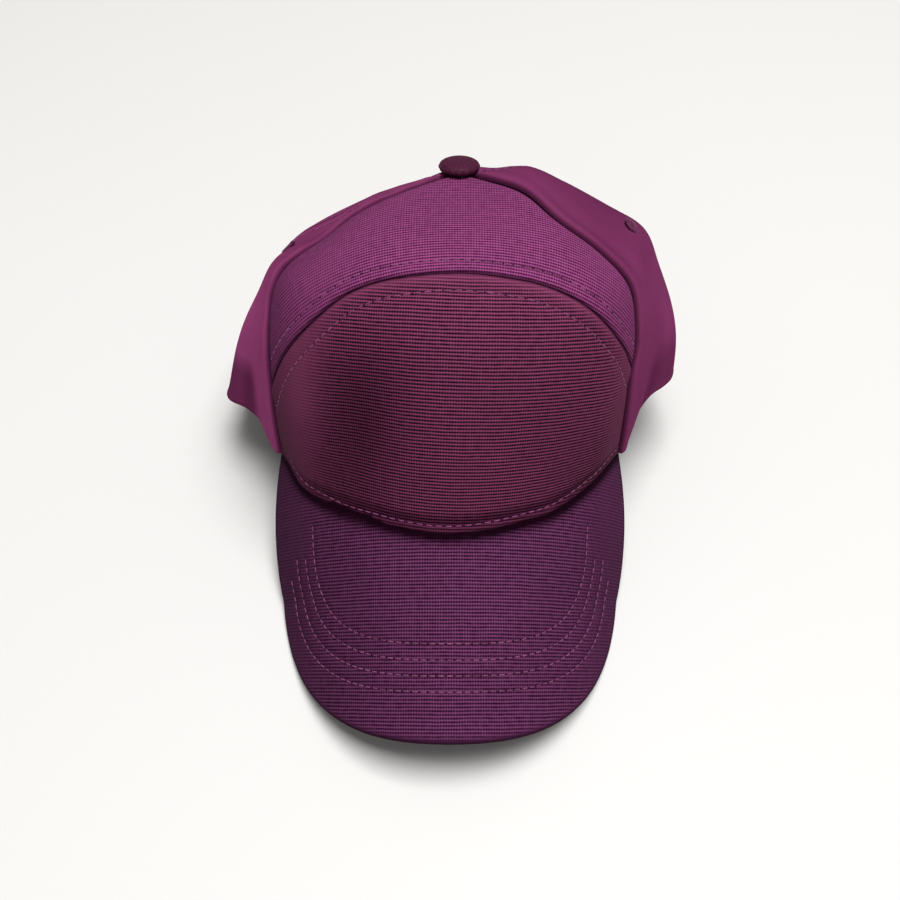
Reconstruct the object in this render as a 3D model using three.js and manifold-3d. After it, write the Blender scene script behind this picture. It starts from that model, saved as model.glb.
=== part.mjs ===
// Seven-panel cap with a curved peak, lying on its rear rim and on the two low sides of its peak.
// The crown is drawn in its own frame: the crown's axis is z, the rim lies near z = 0, and the
// front points to -y. A turn is the angle round that axis, from 0 at the front, positive to +x.
// At the end the whole cap is tipped back until it stands on the floor.
import * as THREE from "three";
import { mergeVertices } from "three/addons/utils/BufferGeometryUtils.js";
import Module from "manifold-3d";

const wasm = await Module();
wasm.setup();

// Crown sizes in millimetres
const CROWN_LENGTH = 186;
const CROWN_WIDTH = 184;
const CROWN_HEIGHT = 95;
const CLOTH = 1.2;
const SEAM_GAP = 0.3;
const CROWN_LEAN = 3.4;
const FOLD_DEPTH = 4;

// Seams of the crown, as turns in degrees
const FRONT_SEAM_TURN = 59;
const SIDE_SEAM_TURN = 105;
const BACK_SEAM_TURN = 150;
const CROWN_HOLE_RADIUS = 3;

// Peak sizes in millimetres, its slope below the rim in degrees
const PEAK_LENGTH = 71.5;
const PEAK_HALF_WIDTH = 88;
const PEAK_THICKNESS = 3;
const PEAK_SLOPE = 43.7;
const PEAK_MIDDLE_RADIUS = 54;
const PEAK_SIDE_RADIUS = 110;
const PEAK_REAR_RADIUS = 75;
const PEAK_MIDDLE_HALF_ARC = 35;
const PEAK_REAR_DEPTH = 41;
const PEAK_CHANGE_AHEAD = 0.5;

// The peak's outer edge: the share of it that is the round front, how square that is, and how far
// its rear corner reaches past the crown's corner
const EDGE_FRONT_SHARE = 0.78;
const EDGE_SQUARENESS = 0.89;
const CORNER_LAP = 3;

// Trim
const BUTTON_DIAMETER = 15;
const BUTTON_HEIGHT = 4.4;
const BUTTON_FOOT = 0.8;
const BUTTON_LOW_ANGLE = -30;
const BUTTON_SQUARENESS = 0.6;
const EYELET_DIAMETER = 7;
const EYELET_HOLE_DIAMETER = 2.4;
const EYELET_HEIGHT = 1.2;
const EYELET_SHARE = 0.52;
const LEFT_EYELET_BACK = 5;
const BAND_GAP = 0.85;
const SWEATBAND_WIDTH = 28;
const SWEATBAND_SET_UP = 4.5;
const SWEATBAND_THICKNESS = 1;
const STRAP_WIDTH = 22;
const STRAP_THICKNESS = 1.6;
const STRAP_OVERLAP = 8;
const BAND_END_GAP = 2;
const OPENING_WIDTH = 72;
const OPENING_HEIGHT = 48;

// How far the crown's cloth reaches below the peak's face before it is trimmed to it, and the
// turn past the peak's corner over which the rim leaves the peak
const PEAK_BITE = 1.2;
const CORNER_TURN = 11;

// Where the rear rim lies flat on the floor, and where it has risen to the rim's plane.
// Cloth that comes this close to the floor is pressed flat on it.
const SETTLED_TURN = 158;
const RISEN_TURN = 112;
const PRESSED = 1.6;

// Length of cloth from the front rim to the button, near enough to turn a gap into a share
const PROFILE_LENGTH = 1.35 * CROWN_HEIGHT;

// Grids of the sheets, each with its columns across and its rows up
const GRIDS = {
  lower: { columns: 24, rows: 10 },
  upper: { columns: 24, rows: 14 },
  gore: { columns: 11, rows: 15 },
  rear: { columns: 20, rows: 12 },
  peak: { columns: 34, rows: 8 },
  sweatband: { columns: 64, rows: 4 },
  strap: { columns: 16, rows: 4 },
};
const ROUND_STEPS = 6;
const BUTTON_SIDES = 20;
const EYELET_SIDES = 12;
const HOLE_SIDES = 10;

// Profiles of the crown, each a cubic curve from the rim up to the button.
// Outward lengths are shares of the half length and half width, heights of CROWN_HEIGHT.
const STATIONS = [
  { turn: -150, rim: 1.0, lift: 0, wallOut: 1.03, wallUp: 0.5, roofOut: 0.56, roofUp: 0.74 },
  { turn: -120, rim: 1.0, lift: 0, wallOut: 0.96, wallUp: 0.56, roofOut: 0.58, roofUp: 0.78 },
  { turn: -90, rim: 1.0, lift: 0, wallOut: 0.81, wallUp: 0.6, roofOut: 0.7, roofUp: 0.82 },
  { turn: -75, rim: 0.9, lift: 0.055, wallOut: 0.88, wallUp: 0.64, roofOut: 0.74, roofUp: 0.88 },
  { turn: -59, rim: 0.83, lift: 0.02, wallOut: 0.97, wallUp: 0.68, roofOut: 0.77, roofUp: 0.95 },
  { turn: -40, rim: 0.885, lift: 0, wallOut: 0.92, wallUp: 0.8, roofOut: 0.75, roofUp: 0.96 },
  { turn: -20, rim: 0.955, lift: 0, wallOut: 0.83, wallUp: 0.93, roofOut: 0.72, roofUp: 0.94 },
  { turn: 0, rim: 1.0, lift: 0, wallOut: 0.77, wallUp: 0.98, roofOut: 0.71, roofUp: 0.93 },
  { turn: 20, rim: 0.95, lift: 0, wallOut: 0.83, wallUp: 0.93, roofOut: 0.72, roofUp: 0.94 },
  { turn: 40, rim: 0.87, lift: 0, wallOut: 0.92, wallUp: 0.8, roofOut: 0.75, roofUp: 0.97 },
  { turn: 59, rim: 0.83, lift: 0.03, wallOut: 0.96, wallUp: 0.68, roofOut: 0.74, roofUp: 0.99 },
  { turn: 75, rim: 0.88, lift: 0.11, wallOut: 0.96, wallUp: 0.67, roofOut: 0.67, roofUp: 1.04 },
  { turn: 90, rim: 0.99, lift: 0.1, wallOut: 0.95, wallUp: 0.69, roofOut: 0.63, roofUp: 1.04 },
  { turn: 120, rim: 1.0, lift: 0, wallOut: 0.99, wallUp: 0.58, roofOut: 0.61, roofUp: 0.9 },
  { turn: 150, rim: 1.0, lift: 0, wallOut: 1.03, wallUp: 0.5, roofOut: 0.56, roofUp: 0.76 },
  { turn: 180, rim: 1.0, lift: 0, wallOut: 1.05, wallUp: 0.48, roofOut: 0.54, roofUp: 0.72 },
];

// The arch seam across the front, as a share of the way from the rim to the button
const ARCH = [
  { turn: -59, share: 0.17 },
  { turn: -50, share: 0.285 },
  { turn: -38, share: 0.41 },
  { turn: -30, share: 0.49 },
  { turn: -20, share: 0.535 },
  { turn: 0, share: 0.555 },
  { turn: 20, share: 0.532 },
  { turn: 30, share: 0.497 },
  { turn: 38, share: 0.438 },
  { turn: 50, share: 0.31 },
  { turn: 59, share: 0.225 },
];

// How far the side seams of the front bow outwards, in degrees of turn, up each side
const SEAM_BOW = [
  { share: 0, left: 0, right: 0 },
  { share: 0.1, left: -1.8, right: -4 },
  { share: 0.2, left: -2, right: -5 },
  { share: 0.3, left: 0, right: -1.6 },
  { share: 0.45, left: 5, right: 0 },
  { share: 0.6, left: 7.6, right: -1.8 },
  { share: 0.75, left: 5.2, right: -7 },
  { share: 0.9, left: 2, right: 0 },
  { share: 1, left: 0, right: 0 },
];

// Dents (negative depth) and soft folds (positive), each fading out over its reach.
// Depths are shares of FOLD_DEPTH, reaches are in degrees of turn and in shares of the way up.
const FOLDS = [
  { turn: -25, share: 0.17, turnReach: 11, shareReach: 0.17, depth: -0.75 },
  { turn: -43, share: 0.16, turnReach: 8, shareReach: 0.16, depth: 0.3 },
  { turn: 43, share: 0.16, turnReach: 8, shareReach: 0.14, depth: 0.25 },
  { turn: -82, share: 0.16, turnReach: 6, shareReach: 0.22, depth: 0.8 },
  { turn: -98, share: 0.2, turnReach: 8, shareReach: 0.2, depth: -0.8 },
  { turn: 82, share: 0.12, turnReach: 6, shareReach: 0.16, depth: 0.6 },
  { turn: 98, share: 0.2, turnReach: 8, shareReach: 0.2, depth: -0.6 },
  { turn: -82, share: 0.47, turnReach: 28, shareReach: 0.09, depth: 0.6 },
  { turn: -82, share: 0.66, turnReach: 28, shareReach: 0.09, depth: -0.7 },
  { turn: 82, share: 0.46, turnReach: 28, shareReach: 0.08, depth: 0.65 },
  { turn: 82, share: 0.62, turnReach: 28, shareReach: 0.1, depth: -0.5 },
  { turn: 88, share: 0.84, turnReach: 38, shareReach: 0.07, depth: 0.6 },
  { turn: 172, share: 0.75, turnReach: 30, shareReach: 0.12, depth: -0.8 },
];

// Short steps that the directions of the faces are read over, clear of the very top
const PEAK_STEP = 0.5;
const TURN_STEP = 0.5;
const SHARE_STEP = 0.004;
const TOP_STEP_SHARE = 0.98;

const FULL_TURN = 360;
const REAR_TURN = FULL_TURN / 2;
const radians = THREE.MathUtils.degToRad;
const degrees = THREE.MathUtils.radToDeg;
const halfLength = CROWN_LENGTH / 2;
const halfWidth = CROWN_WIDTH / 2;
const slope = radians(PEAK_SLOPE);
const peakAlong = new THREE.Vector3(0, -Math.cos(slope), -Math.sin(slope));
const peakUp = new THREE.Vector3(0, -Math.sin(slope), Math.cos(slope));

function awayFromFront(turn) {
  return Math.abs(THREE.MathUtils.euclideanModulo(turn + REAR_TURN, FULL_TURN) - REAR_TURN);
}

function smoothstep(x) {
  const t = THREE.MathUtils.clamp(x, 0, 1);
  return t * t * (3 - 2 * t);
}

// A smooth curve through the rows of a table, read at one value of its key column
function readTable(rows, key, at, column, period = 0) {
  const wrapped = period ? THREE.MathUtils.euclideanModulo(at - rows[0][key], period) + rows[0][key] : at;
  const count = rows.length;
  const row = (i) => {
    if (!period) return { at: rows[THREE.MathUtils.clamp(i, 0, count - 1)][key], value: i };
    const turns = Math.floor(i / count);
    return { at: rows[i - turns * count][key] + turns * period, value: i };
  };
  const value = (i) => {
    const j = period ? THREE.MathUtils.euclideanModulo(i, count) : THREE.MathUtils.clamp(i, 0, count - 1);
    return rows[j][column];
  };
  let i = 0;
  const last = period ? count - 1 : count - 2;
  while (i < last && row(i + 1).at <= wrapped) i += 1;
  const span = row(i + 1).at - row(i).at;
  const t = (wrapped - row(i).at) / span;
  const before = Math.max(row(i + 1).at - row(i - 1).at, span);
  const after = Math.max(row(i + 2).at - row(i).at, span);
  const slopeIn = ((value(i + 1) - value(i - 1)) / before) * span;
  const slopeOut = ((value(i + 2) - value(i)) / after) * span;
  const t2 = t * t;
  const t3 = t2 * t;
  return (
    (2 * t3 - 3 * t2 + 1) * value(i) +
    (t3 - 2 * t2 + t) * slopeIn +
    (3 * t2 - 2 * t3) * value(i + 1) +
    (t3 - t2) * slopeOut
  );
}

// The peak's cross-section: how far out and how far down a point lies, by its distance along the
// arc from the middle and its distance forward along the peak
function peakSection(arc, forward) {
  const back = THREE.MathUtils.clamp(-forward / PEAK_REAR_DEPTH, -PEAK_CHANGE_AHEAD, 1);
  const blend = (back + PEAK_CHANGE_AHEAD) / (1 + PEAK_CHANGE_AHEAD);
  const middle = THREE.MathUtils.lerp(PEAK_MIDDLE_RADIUS, PEAK_REAR_RADIUS, blend);
  const side = THREE.MathUtils.lerp(PEAK_SIDE_RADIUS, PEAK_REAR_RADIUS, blend);
  const length = Math.abs(arc);
  const inner = Math.min(length, PEAK_MIDDLE_HALF_ARC) / middle;
  const outer = inner + Math.max(length - PEAK_MIDDLE_HALF_ARC, 0) / side;
  const out = middle * Math.sin(inner) + side * (Math.sin(outer) - Math.sin(inner));
  const down = middle * (1 - Math.cos(inner)) + side * (Math.cos(inner) - Math.cos(outer));
  return { out: out * Math.sign(arc), down };
}

function peakPoint(arc, forward) {
  const { out, down } = peakSection(arc, forward);
  return new THREE.Vector3(out, -halfLength, 0)
    .addScaledVector(peakAlong, forward)
    .addScaledVector(peakUp, -down);
}

// The peak's arc and forward distance under a point of the rim in plan, closed in on by small
// corrections
const CORRECTIONS = 40;
const CORRECTION_SHARE = 0.6;

function peakUnder(x, y) {
  let arc = x;
  let forward = 0;
  for (let pass = 0; pass < CORRECTIONS; pass += 1) {
    const { out, down } = peakSection(arc, forward);
    arc += x - out;
    const reach = -halfLength - y;
    forward += CORRECTION_SHARE * ((reach + Math.sin(slope) * down) / Math.cos(slope) - forward);
  }
  return { arc, forward };
}

function rimPlan(turn) {
  const rim = readTable(STATIONS, "turn", turn, "rim", FULL_TURN);
  const angle = radians(turn);
  return { x: rim * halfWidth * Math.sin(angle), y: -rim * halfLength * Math.cos(angle) };
}

// The peak's outer edge from the tip (0) to its rear corner (1)
const cornerPlan = rimPlan(FRONT_SEAM_TURN);
const corner = peakUnder(cornerPlan.x, cornerPlan.y);

function peakEdge(share) {
  const side = Math.sign(share);
  const way = Math.abs(share);
  if (way < EDGE_FRONT_SHARE) {
    const angle = (way / EDGE_FRONT_SHARE) * (Math.PI / 2);
    return {
      arc: side * PEAK_HALF_WIDTH * Math.sin(angle) ** EDGE_SQUARENESS,
      forward: PEAK_LENGTH * Math.cos(angle) ** EDGE_SQUARENESS,
    };
  }
  const back = (way - EDGE_FRONT_SHARE) / (1 - EDGE_FRONT_SHARE);
  return {
    arc: side * THREE.MathUtils.lerp(PEAK_HALF_WIDTH, corner.arc, back * back),
    forward: (corner.forward + CORNER_LAP) * back,
  };
}

// The tip-back angle at which the lowest point of the peak reaches the floor under the rear rim
const EDGE_STEPS = 200;

function restTilt() {
  let tilt = 0;
  for (let i = 0; i <= EDGE_STEPS; i += 1) {
    const { arc, forward } = peakEdge(i / EDGE_STEPS);
    const point = peakPoint(arc, forward).addScaledVector(peakNormal(arc, forward), -PEAK_THICKNESS);
    tilt = Math.max(tilt, Math.atan2(-point.z, halfLength - point.y));
  }
  return tilt;
}

const TILT = restTilt();

// Height of the rim's cloth edge over the rim plane: on the peak in front, down on the floor behind
function rimLift(turn) {
  const away = awayFromFront(turn);
  const plan = rimPlan(turn);
  const toFloor = -(halfLength - plan.y) * Math.tan(TILT);
  const settle = smoothstep((away - RISEN_TURN) / (SETTLED_TURN - RISEN_TURN));
  const { arc, forward } = peakUnder(plan.x, plan.y);
  const onPeak = peakPoint(arc, forward).z - PEAK_BITE;
  const stand = 1 - smoothstep((away - FRONT_SEAM_TURN) / CORNER_TURN);
  const free = readTable(STATIONS, "turn", turn, "lift", FULL_TURN) * CROWN_HEIGHT;
  return onPeak * stand + free * (1 - stand) * (1 - settle) + toFloor * settle;
}

function bezier(p0, p1, p2, p3, t) {
  const s = 1 - t;
  return s * s * s * p0 + 3 * s * s * t * p1 + 3 * s * t * t * p2 + t * t * t * p3;
}

function smoothCrown(turn, share) {
  const read = (column) => readTable(STATIONS, "turn", turn, column, FULL_TURN);
  const out = bezier(read("rim"), read("wallOut"), read("roofOut"), 0, share);
  const up = bezier(0, read("wallUp"), read("roofUp"), 1, share) * CROWN_HEIGHT;
  const angle = radians(turn);
  const lift = rimLift(turn) * (1 - share) ** 3;
  const lean = CROWN_LEAN * (up / CROWN_HEIGHT);
  const x = out * halfWidth * Math.sin(angle) + lean;
  return new THREE.Vector3(x, -out * halfLength * Math.cos(angle), up + lift);
}

// The direction outwards, from short steps across the face and up it
function crownNormal(turn, share, surface = smoothCrown) {
  const low = Math.max(share - SHARE_STEP, 0);
  const high = Math.min(share + SHARE_STEP, TOP_STEP_SHARE);
  const across = surface(turn + TURN_STEP, share).sub(surface(turn - TURN_STEP, share));
  const up = surface(turn, high).sub(surface(turn, low));
  return across.cross(up).normalize();
}

function foldHeight(turn, share) {
  return FOLDS.reduce((sum, fold) => {
    const apart = awayFromFront(turn - fold.turn);
    const far = (apart / fold.turnReach) ** 2 + ((share - fold.share) / fold.shareReach) ** 2;
    return sum + fold.depth * FOLD_DEPTH * Math.exp(-far);
  }, 0);
}

// The crown's outer face, or a face some way inside it
function crown(turn, share, inside = 0) {
  const folded = (a, s) => smoothCrown(a, s).addScaledVector(crownNormal(a, s), foldHeight(a, s));
  const point = folded(turn, share);
  if (inside) point.addScaledVector(crownNormal(turn, share, folded), -inside);
  return point;
}

// Cloth that reaches the floor lies flat on it
function floorHeight(point) {
  return (halfLength - point.y) * Math.sin(TILT) + point.z * Math.cos(TILT);
}

function pressOnFloor(point) {
  if (floorHeight(point) < PRESSED) point.z = -(halfLength - point.y) * Math.tan(TILT);
  return point;
}

// A closed sheet: two faces of a grid and the walls round their edge
function sheet(columns, rows, face) {
  const positions = [];
  const index = [];
  const perFace = (columns + 1) * (rows + 1);
  for (const side of [0, 1]) {
    for (let j = 0; j <= rows; j += 1) {
      for (let i = 0; i <= columns; i += 1) {
        positions.push(...face(i / columns, j / rows, side).toArray());
      }
    }
  }
  const at = (side, i, j) => side * perFace + j * (columns + 1) + i;
  const quad = (a, b, c, d) => index.push(a, b, c, a, c, d);
  for (let j = 0; j < rows; j += 1) {
    for (let i = 0; i < columns; i += 1) {
      quad(at(0, i, j), at(0, i + 1, j), at(0, i + 1, j + 1), at(0, i, j + 1));
      quad(at(1, i, j), at(1, i, j + 1), at(1, i + 1, j + 1), at(1, i + 1, j));
    }
  }
  for (let i = 0; i < columns; i += 1) {
    quad(at(0, i + 1, 0), at(0, i, 0), at(1, i, 0), at(1, i + 1, 0));
    quad(at(0, i, rows), at(0, i + 1, rows), at(1, i + 1, rows), at(1, i, rows));
  }
  for (let j = 0; j < rows; j += 1) {
    quad(at(0, 0, j), at(0, 0, j + 1), at(1, 0, j + 1), at(1, 0, j));
    quad(at(0, columns, j + 1), at(0, columns, j), at(1, columns, j), at(1, columns, j + 1));
  }
  const geometry = new THREE.BufferGeometry();
  geometry.setAttribute("position", new THREE.Float32BufferAttribute(positions, 3));
  geometry.setIndex(index);
  return geometry;
}

// How far up the crown a profile comes within some distance of the axis, for the hole at the top
const HALVINGS = 30;

function shareAtReach(turn, reach) {
  let low = 0.5;
  let high = 1;
  for (let pass = 0; pass < HALVINGS; pass += 1) {
    const middle = (low + high) / 2;
    const point = smoothCrown(turn, middle);
    if (Math.hypot(point.x - CROWN_LEAN, point.y) > reach) low = middle;
    else high = middle;
  }
  return low;
}

// How far up the crown a profile has risen by some length of cloth from its rim
const PROFILE_STEPS = 40;

function shareAtRise(turn, rise) {
  let length = 0;
  let last = smoothCrown(turn, 0);
  for (let i = 1; i <= PROFILE_STEPS; i += 1) {
    const next = smoothCrown(turn, i / PROFILE_STEPS);
    const step = next.distanceTo(last);
    if (length + step >= rise) return (i - 1 + (rise - length) / step) / PROFILE_STEPS;
    length += step;
    last = next;
  }
  return 1;
}

// The side seams of the front bow outwards, and the cloth on both sides of them follows
function bowed(turn, share) {
  const away = awayFromFront(turn);
  const left = turn > REAR_TURN || turn < 0;
  const bow = readTable(SEAM_BOW, "share", share, left ? "left" : "right");
  const behind = (away - FRONT_SEAM_TURN) / (SIDE_SEAM_TURN - FRONT_SEAM_TURN);
  const near = away < FRONT_SEAM_TURN ? away / FRONT_SEAM_TURN : Math.max(0, 1 - behind);
  return turn + (left ? -bow : bow) * near;
}

const archShare = (turn) => readTable(ARCH, "turn", turn, "share");
const topShare = (turn) => shareAtReach(turn, CROWN_HOLE_RADIUS);
const rimShare = () => 0;
const rimRadius = halfWidth;
const openingHalfTurn = degrees(OPENING_WIDTH / 2 / rimRadius);
const openingTop = shareAtRise(REAR_TURN, OPENING_HEIGHT);

// The rear opening's edge, a half ellipse over the strap
function openingShare(turn) {
  const across = (turn - REAR_TURN) / openingHalfTurn;
  return Math.abs(across) < 1 ? openingTop * Math.sqrt(1 - across * across) : 0;
}

// A panel of the crown between two turns and two lines up the crown, short of its neighbours by
// half the seam gap all round
function panel(fromTurn, toTurn, { columns, rows }, bottom, top, spread = (u) => u) {
  const half = SEAM_GAP / 2;
  return sheet(columns, rows, (u, v, side) => {
    const plain = THREE.MathUtils.lerp(fromTurn, toTurn, spread(u));
    const low = bottom(plain);
    const high = top(plain);
    const lowTrim = bottom === rimShare ? 0 : half / PROFILE_LENGTH;
    const highTrim = top === topShare ? 0 : half / PROFILE_LENGTH;
    const share = THREE.MathUtils.lerp(low + lowTrim, high - highTrim, v);
    const point = smoothCrown(plain, share);
    const trim = degrees(half / Math.hypot(point.x - CROWN_LEAN, point.y));
    const turn = bowed(plain, share) + trim * (1 - 2 * spread(u));
    return pressOnFloor(crown(turn, share, side * CLOTH));
  });
}

// Columns of the centre back panel crowd together at the feet of the opening
function openingSpread(fromTurn, toTurn, columns) {
  const margin = 2;
  const start = (REAR_TURN - openingHalfTurn - fromTurn) / (toTurn - fromTurn);
  return (u) => {
    const i = Math.round(u * columns);
    if (i <= margin) return (start * i) / margin;
    if (i >= columns - margin) return 1 - (start * (columns - i)) / margin;
    const angle = (Math.PI * (i - margin)) / (columns - 2 * margin);
    return start + ((1 - 2 * start) * (1 - Math.cos(angle))) / 2;
  };
}

// A band along the rim inside the crown's cloth
function band(fromTurn, toTurn, { columns, rows }, setUp, width, inside, thickness) {
  return sheet(columns, rows, (u, v, side) => {
    const turn = THREE.MathUtils.lerp(fromTurn, toTurn, u);
    const share = shareAtRise(turn, setUp + width * v);
    return pressOnFloor(crown(turn, share, inside + side * thickness));
  });
}

// The peak: straight lines run from the crown's inner face to the outer edge
const peakRearInset = CLOTH / halfWidth;

function peakGrid(u, v) {
  const share = 2 * u - 1;
  const turn = FRONT_SEAM_TURN * share;
  const plan = rimPlan(turn);
  const rear = peakUnder(plan.x * (1 - peakRearInset), plan.y * (1 - peakRearInset));
  const edge = peakEdge(share);
  return {
    arc: THREE.MathUtils.lerp(rear.arc, edge.arc, v),
    forward: THREE.MathUtils.lerp(rear.forward, edge.forward, v),
  };
}

function peakNormal(arc, forward) {
  const across = peakPoint(arc + PEAK_STEP, forward).sub(peakPoint(arc - PEAK_STEP, forward));
  const ahead = peakPoint(arc, forward + PEAK_STEP).sub(peakPoint(arc, forward - PEAK_STEP));
  return ahead.cross(across).normalize();
}

function peak() {
  return sheet(GRIDS.peak.columns, GRIDS.peak.rows, (u, v, side) => {
    const { arc, forward } = peakGrid(u, 1 - v);
    const under = side * PEAK_THICKNESS;
    return peakPoint(arc, forward).addScaledVector(peakNormal(arc, forward), -under);
  });
}

// A small round piece turned round the crown's normal and set on its face
function standOn(geometry, turn, share, lift) {
  const point = crown(turn, share);
  const normal = crownNormal(turn, share);
  const upright = new THREE.Quaternion().setFromUnitVectors(new THREE.Vector3(0, 1, 0), normal);
  geometry.applyQuaternion(upright);
  geometry.translate(...point.addScaledVector(normal, lift).toArray());
  return geometry;
}

function ring(outer, inner, height, sides) {
  const middle = (outer + inner) / 2;
  const half = (outer - inner) / 2;
  const profile = [];
  for (let i = 0; i <= ROUND_STEPS; i += 1) {
    const angle = (2 * Math.PI * i) / ROUND_STEPS;
    profile.push(new THREE.Vector2(middle + half * Math.cos(angle), (height / 2) * (1 + Math.sin(angle))));
  }
  return new THREE.LatheGeometry(profile, sides);
}

// A low cushion: a flat foot, then a round side that runs over to the middle of its top
function button() {
  const radius = BUTTON_DIAMETER / 2;
  const profile = [new THREE.Vector2(0, 0), new THREE.Vector2(radius * BUTTON_FOOT, 0)];
  const lowest = Math.sin(radians(BUTTON_LOW_ANGLE));
  for (let i = 0; i <= ROUND_STEPS; i += 1) {
    const angle = radians(THREE.MathUtils.lerp(BUTTON_LOW_ANGLE, 90, i / ROUND_STEPS));
    const out = i === ROUND_STEPS ? 0 : radius * Math.cos(angle) ** BUTTON_SQUARENESS;
    const up = (BUTTON_HEIGHT * (Math.sin(angle) - lowest + SEAM_GAP)) / (1 - lowest + SEAM_GAP);
    profile.push(new THREE.Vector2(out, up));
  }
  const geometry = new THREE.LatheGeometry(profile, BUTTON_SIDES);
  geometry.rotateX(Math.PI / 2);
  return geometry;
}

function toSolid(geometry) {
  const bare = geometry.clone();
  bare.deleteAttribute("normal");
  bare.deleteAttribute("uv");
  const merged = mergeVertices(bare, 1e-4);
  return new wasm.Manifold(
    new wasm.Mesh({
      numProp: 3,
      vertProperties: new Float32Array(merged.attributes.position.array),
      triVerts: new Uint32Array(merged.index.array),
    }),
  );
}

function toGeometry(solid) {
  const mesh = solid.getMesh();
  const geometry = new THREE.BufferGeometry();
  geometry.setAttribute("position", new THREE.BufferAttribute(new Float32Array(mesh.vertProperties), 3));
  geometry.setIndex(new THREE.BufferAttribute(new Uint32Array(mesh.triVerts), 1));
  return geometry;
}

// A panel with its eyelet's hole cut through it
function pierced(geometry, turn) {
  const radius = EYELET_HOLE_DIAMETER / 2;
  const drill = new THREE.CylinderGeometry(radius, radius, 4 * CLOTH, HOLE_SIDES);
  standOn(drill, turn, EYELET_SHARE, -CLOTH / 2);
  return toGeometry(toSolid(geometry).subtract(toSolid(drill)));
}

// A piece trimmed to stand just clear of the peak: above it, behind it and beside its corners
const CLEAR_WAYS = [
  [0, 0, 1],
  [0, 1, 0],
  [1, 0, 0],
  [-1, 0, 0],
];

function clearOfPeak(geometry) {
  const body = toSolid(peak());
  const grown = CLEAR_WAYS.reduce((sum, way) => sum.add(body.translate(way.map((w) => w * SEAM_GAP))), body);
  return toGeometry(toSolid(geometry).subtract(grown));
}

const ribbed = new THREE.MeshStandardMaterial({ color: 0x733a5a, roughness: 0.7, metalness: 0 });
const smooth = new THREE.MeshStandardMaterial({ color: 0x7a2f63, roughness: 0.55, metalness: 0 });
const peakCloth = new THREE.MeshStandardMaterial({ color: 0x6a3a5e, roughness: 0.7, metalness: 0 });
const trim = new THREE.MeshStandardMaterial({ color: 0x4b1f38, roughness: 0.7, metalness: 0 });

const cap = new THREE.Group();

function add(name, geometry, material) {
  const mesh = new THREE.Mesh(geometry, material);
  mesh.name = name;
  cap.add(mesh);
}

add(
  "front_lower_panel",
  clearOfPeak(panel(-FRONT_SEAM_TURN, FRONT_SEAM_TURN, GRIDS.lower, rimShare, archShare)),
  ribbed,
);
add(
  "front_upper_panel",
  panel(-FRONT_SEAM_TURN, FRONT_SEAM_TURN, GRIDS.upper, archShare, topShare),
  ribbed,
);

// Side and back panels, each with an eyelet about half way round it
const GORES = [
  { name: "side", from: FRONT_SEAM_TURN, to: SIDE_SEAM_TURN },
  { name: "back", from: SIDE_SEAM_TURN, to: BACK_SEAM_TURN },
];
for (const side of [-1, 1]) {
  const hand = side < 0 ? "left" : "right";
  for (const gore of GORES) {
    const ends = [side * gore.from, side * gore.to].sort((a, b) => a - b);
    const middle = (ends[0] + ends[1]) / 2 - (side < 0 ? LEFT_EYELET_BACK : 0);
    const plain = clearOfPeak(panel(ends[0], ends[1], GRIDS.gore, rimShare, topShare));
    add(`${gore.name}_panel_${hand}`, pierced(plain, middle), smooth);
    const eyelet = ring(EYELET_DIAMETER / 2, EYELET_HOLE_DIAMETER / 2, EYELET_HEIGHT, EYELET_SIDES);
    add(`eyelet_${gore.name}_${hand}`, standOn(eyelet, middle, EYELET_SHARE, SEAM_GAP), trim);
  }
}

const rearEnd = FULL_TURN - BACK_SEAM_TURN;
const rearSpread = openingSpread(BACK_SEAM_TURN, rearEnd, GRIDS.rear.columns);
add(
  "back_panel_centre",
  panel(BACK_SEAM_TURN, rearEnd, GRIDS.rear, openingShare, topShare, rearSpread),
  smooth,
);

const bandInside = CLOTH + BAND_GAP;
const strapHalfTurn = openingHalfTurn + degrees(STRAP_OVERLAP / rimRadius);
const bandEnd = REAR_TURN - strapHalfTurn - degrees(BAND_END_GAP / rimRadius);
const sweatband = band(
  -bandEnd,
  bandEnd,
  GRIDS.sweatband,
  SWEATBAND_SET_UP,
  SWEATBAND_WIDTH,
  bandInside,
  SWEATBAND_THICKNESS,
);
add("sweatband", clearOfPeak(sweatband), trim);

const strap = band(
  REAR_TURN - strapHalfTurn,
  REAR_TURN + strapHalfTurn,
  GRIDS.strap,
  0,
  STRAP_WIDTH,
  bandInside,
  STRAP_THICKNESS,
);
add("back_strap", strap, smooth);

add("peak", peak(), peakCloth);

const crownTop = new THREE.Vector3(CROWN_LEAN, 0, CROWN_HEIGHT);
add("button", button().translate(...crownTop.toArray()), trim);

// Tip the cap back onto the floor, and put the middle of its footprint over the origin
cap.rotation.x = -TILT;
cap.updateMatrixWorld(true);
const box = new THREE.Box3().setFromObject(cap, true);
cap.position.set(-(box.min.x + box.max.x) / 2, -(box.min.y + box.max.y) / 2, -box.min.z);

export default cap;
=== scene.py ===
import math

import bpy
import numpy as np
from mathutils import Matrix, Vector
from mathutils.kdtree import KDTree


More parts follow.
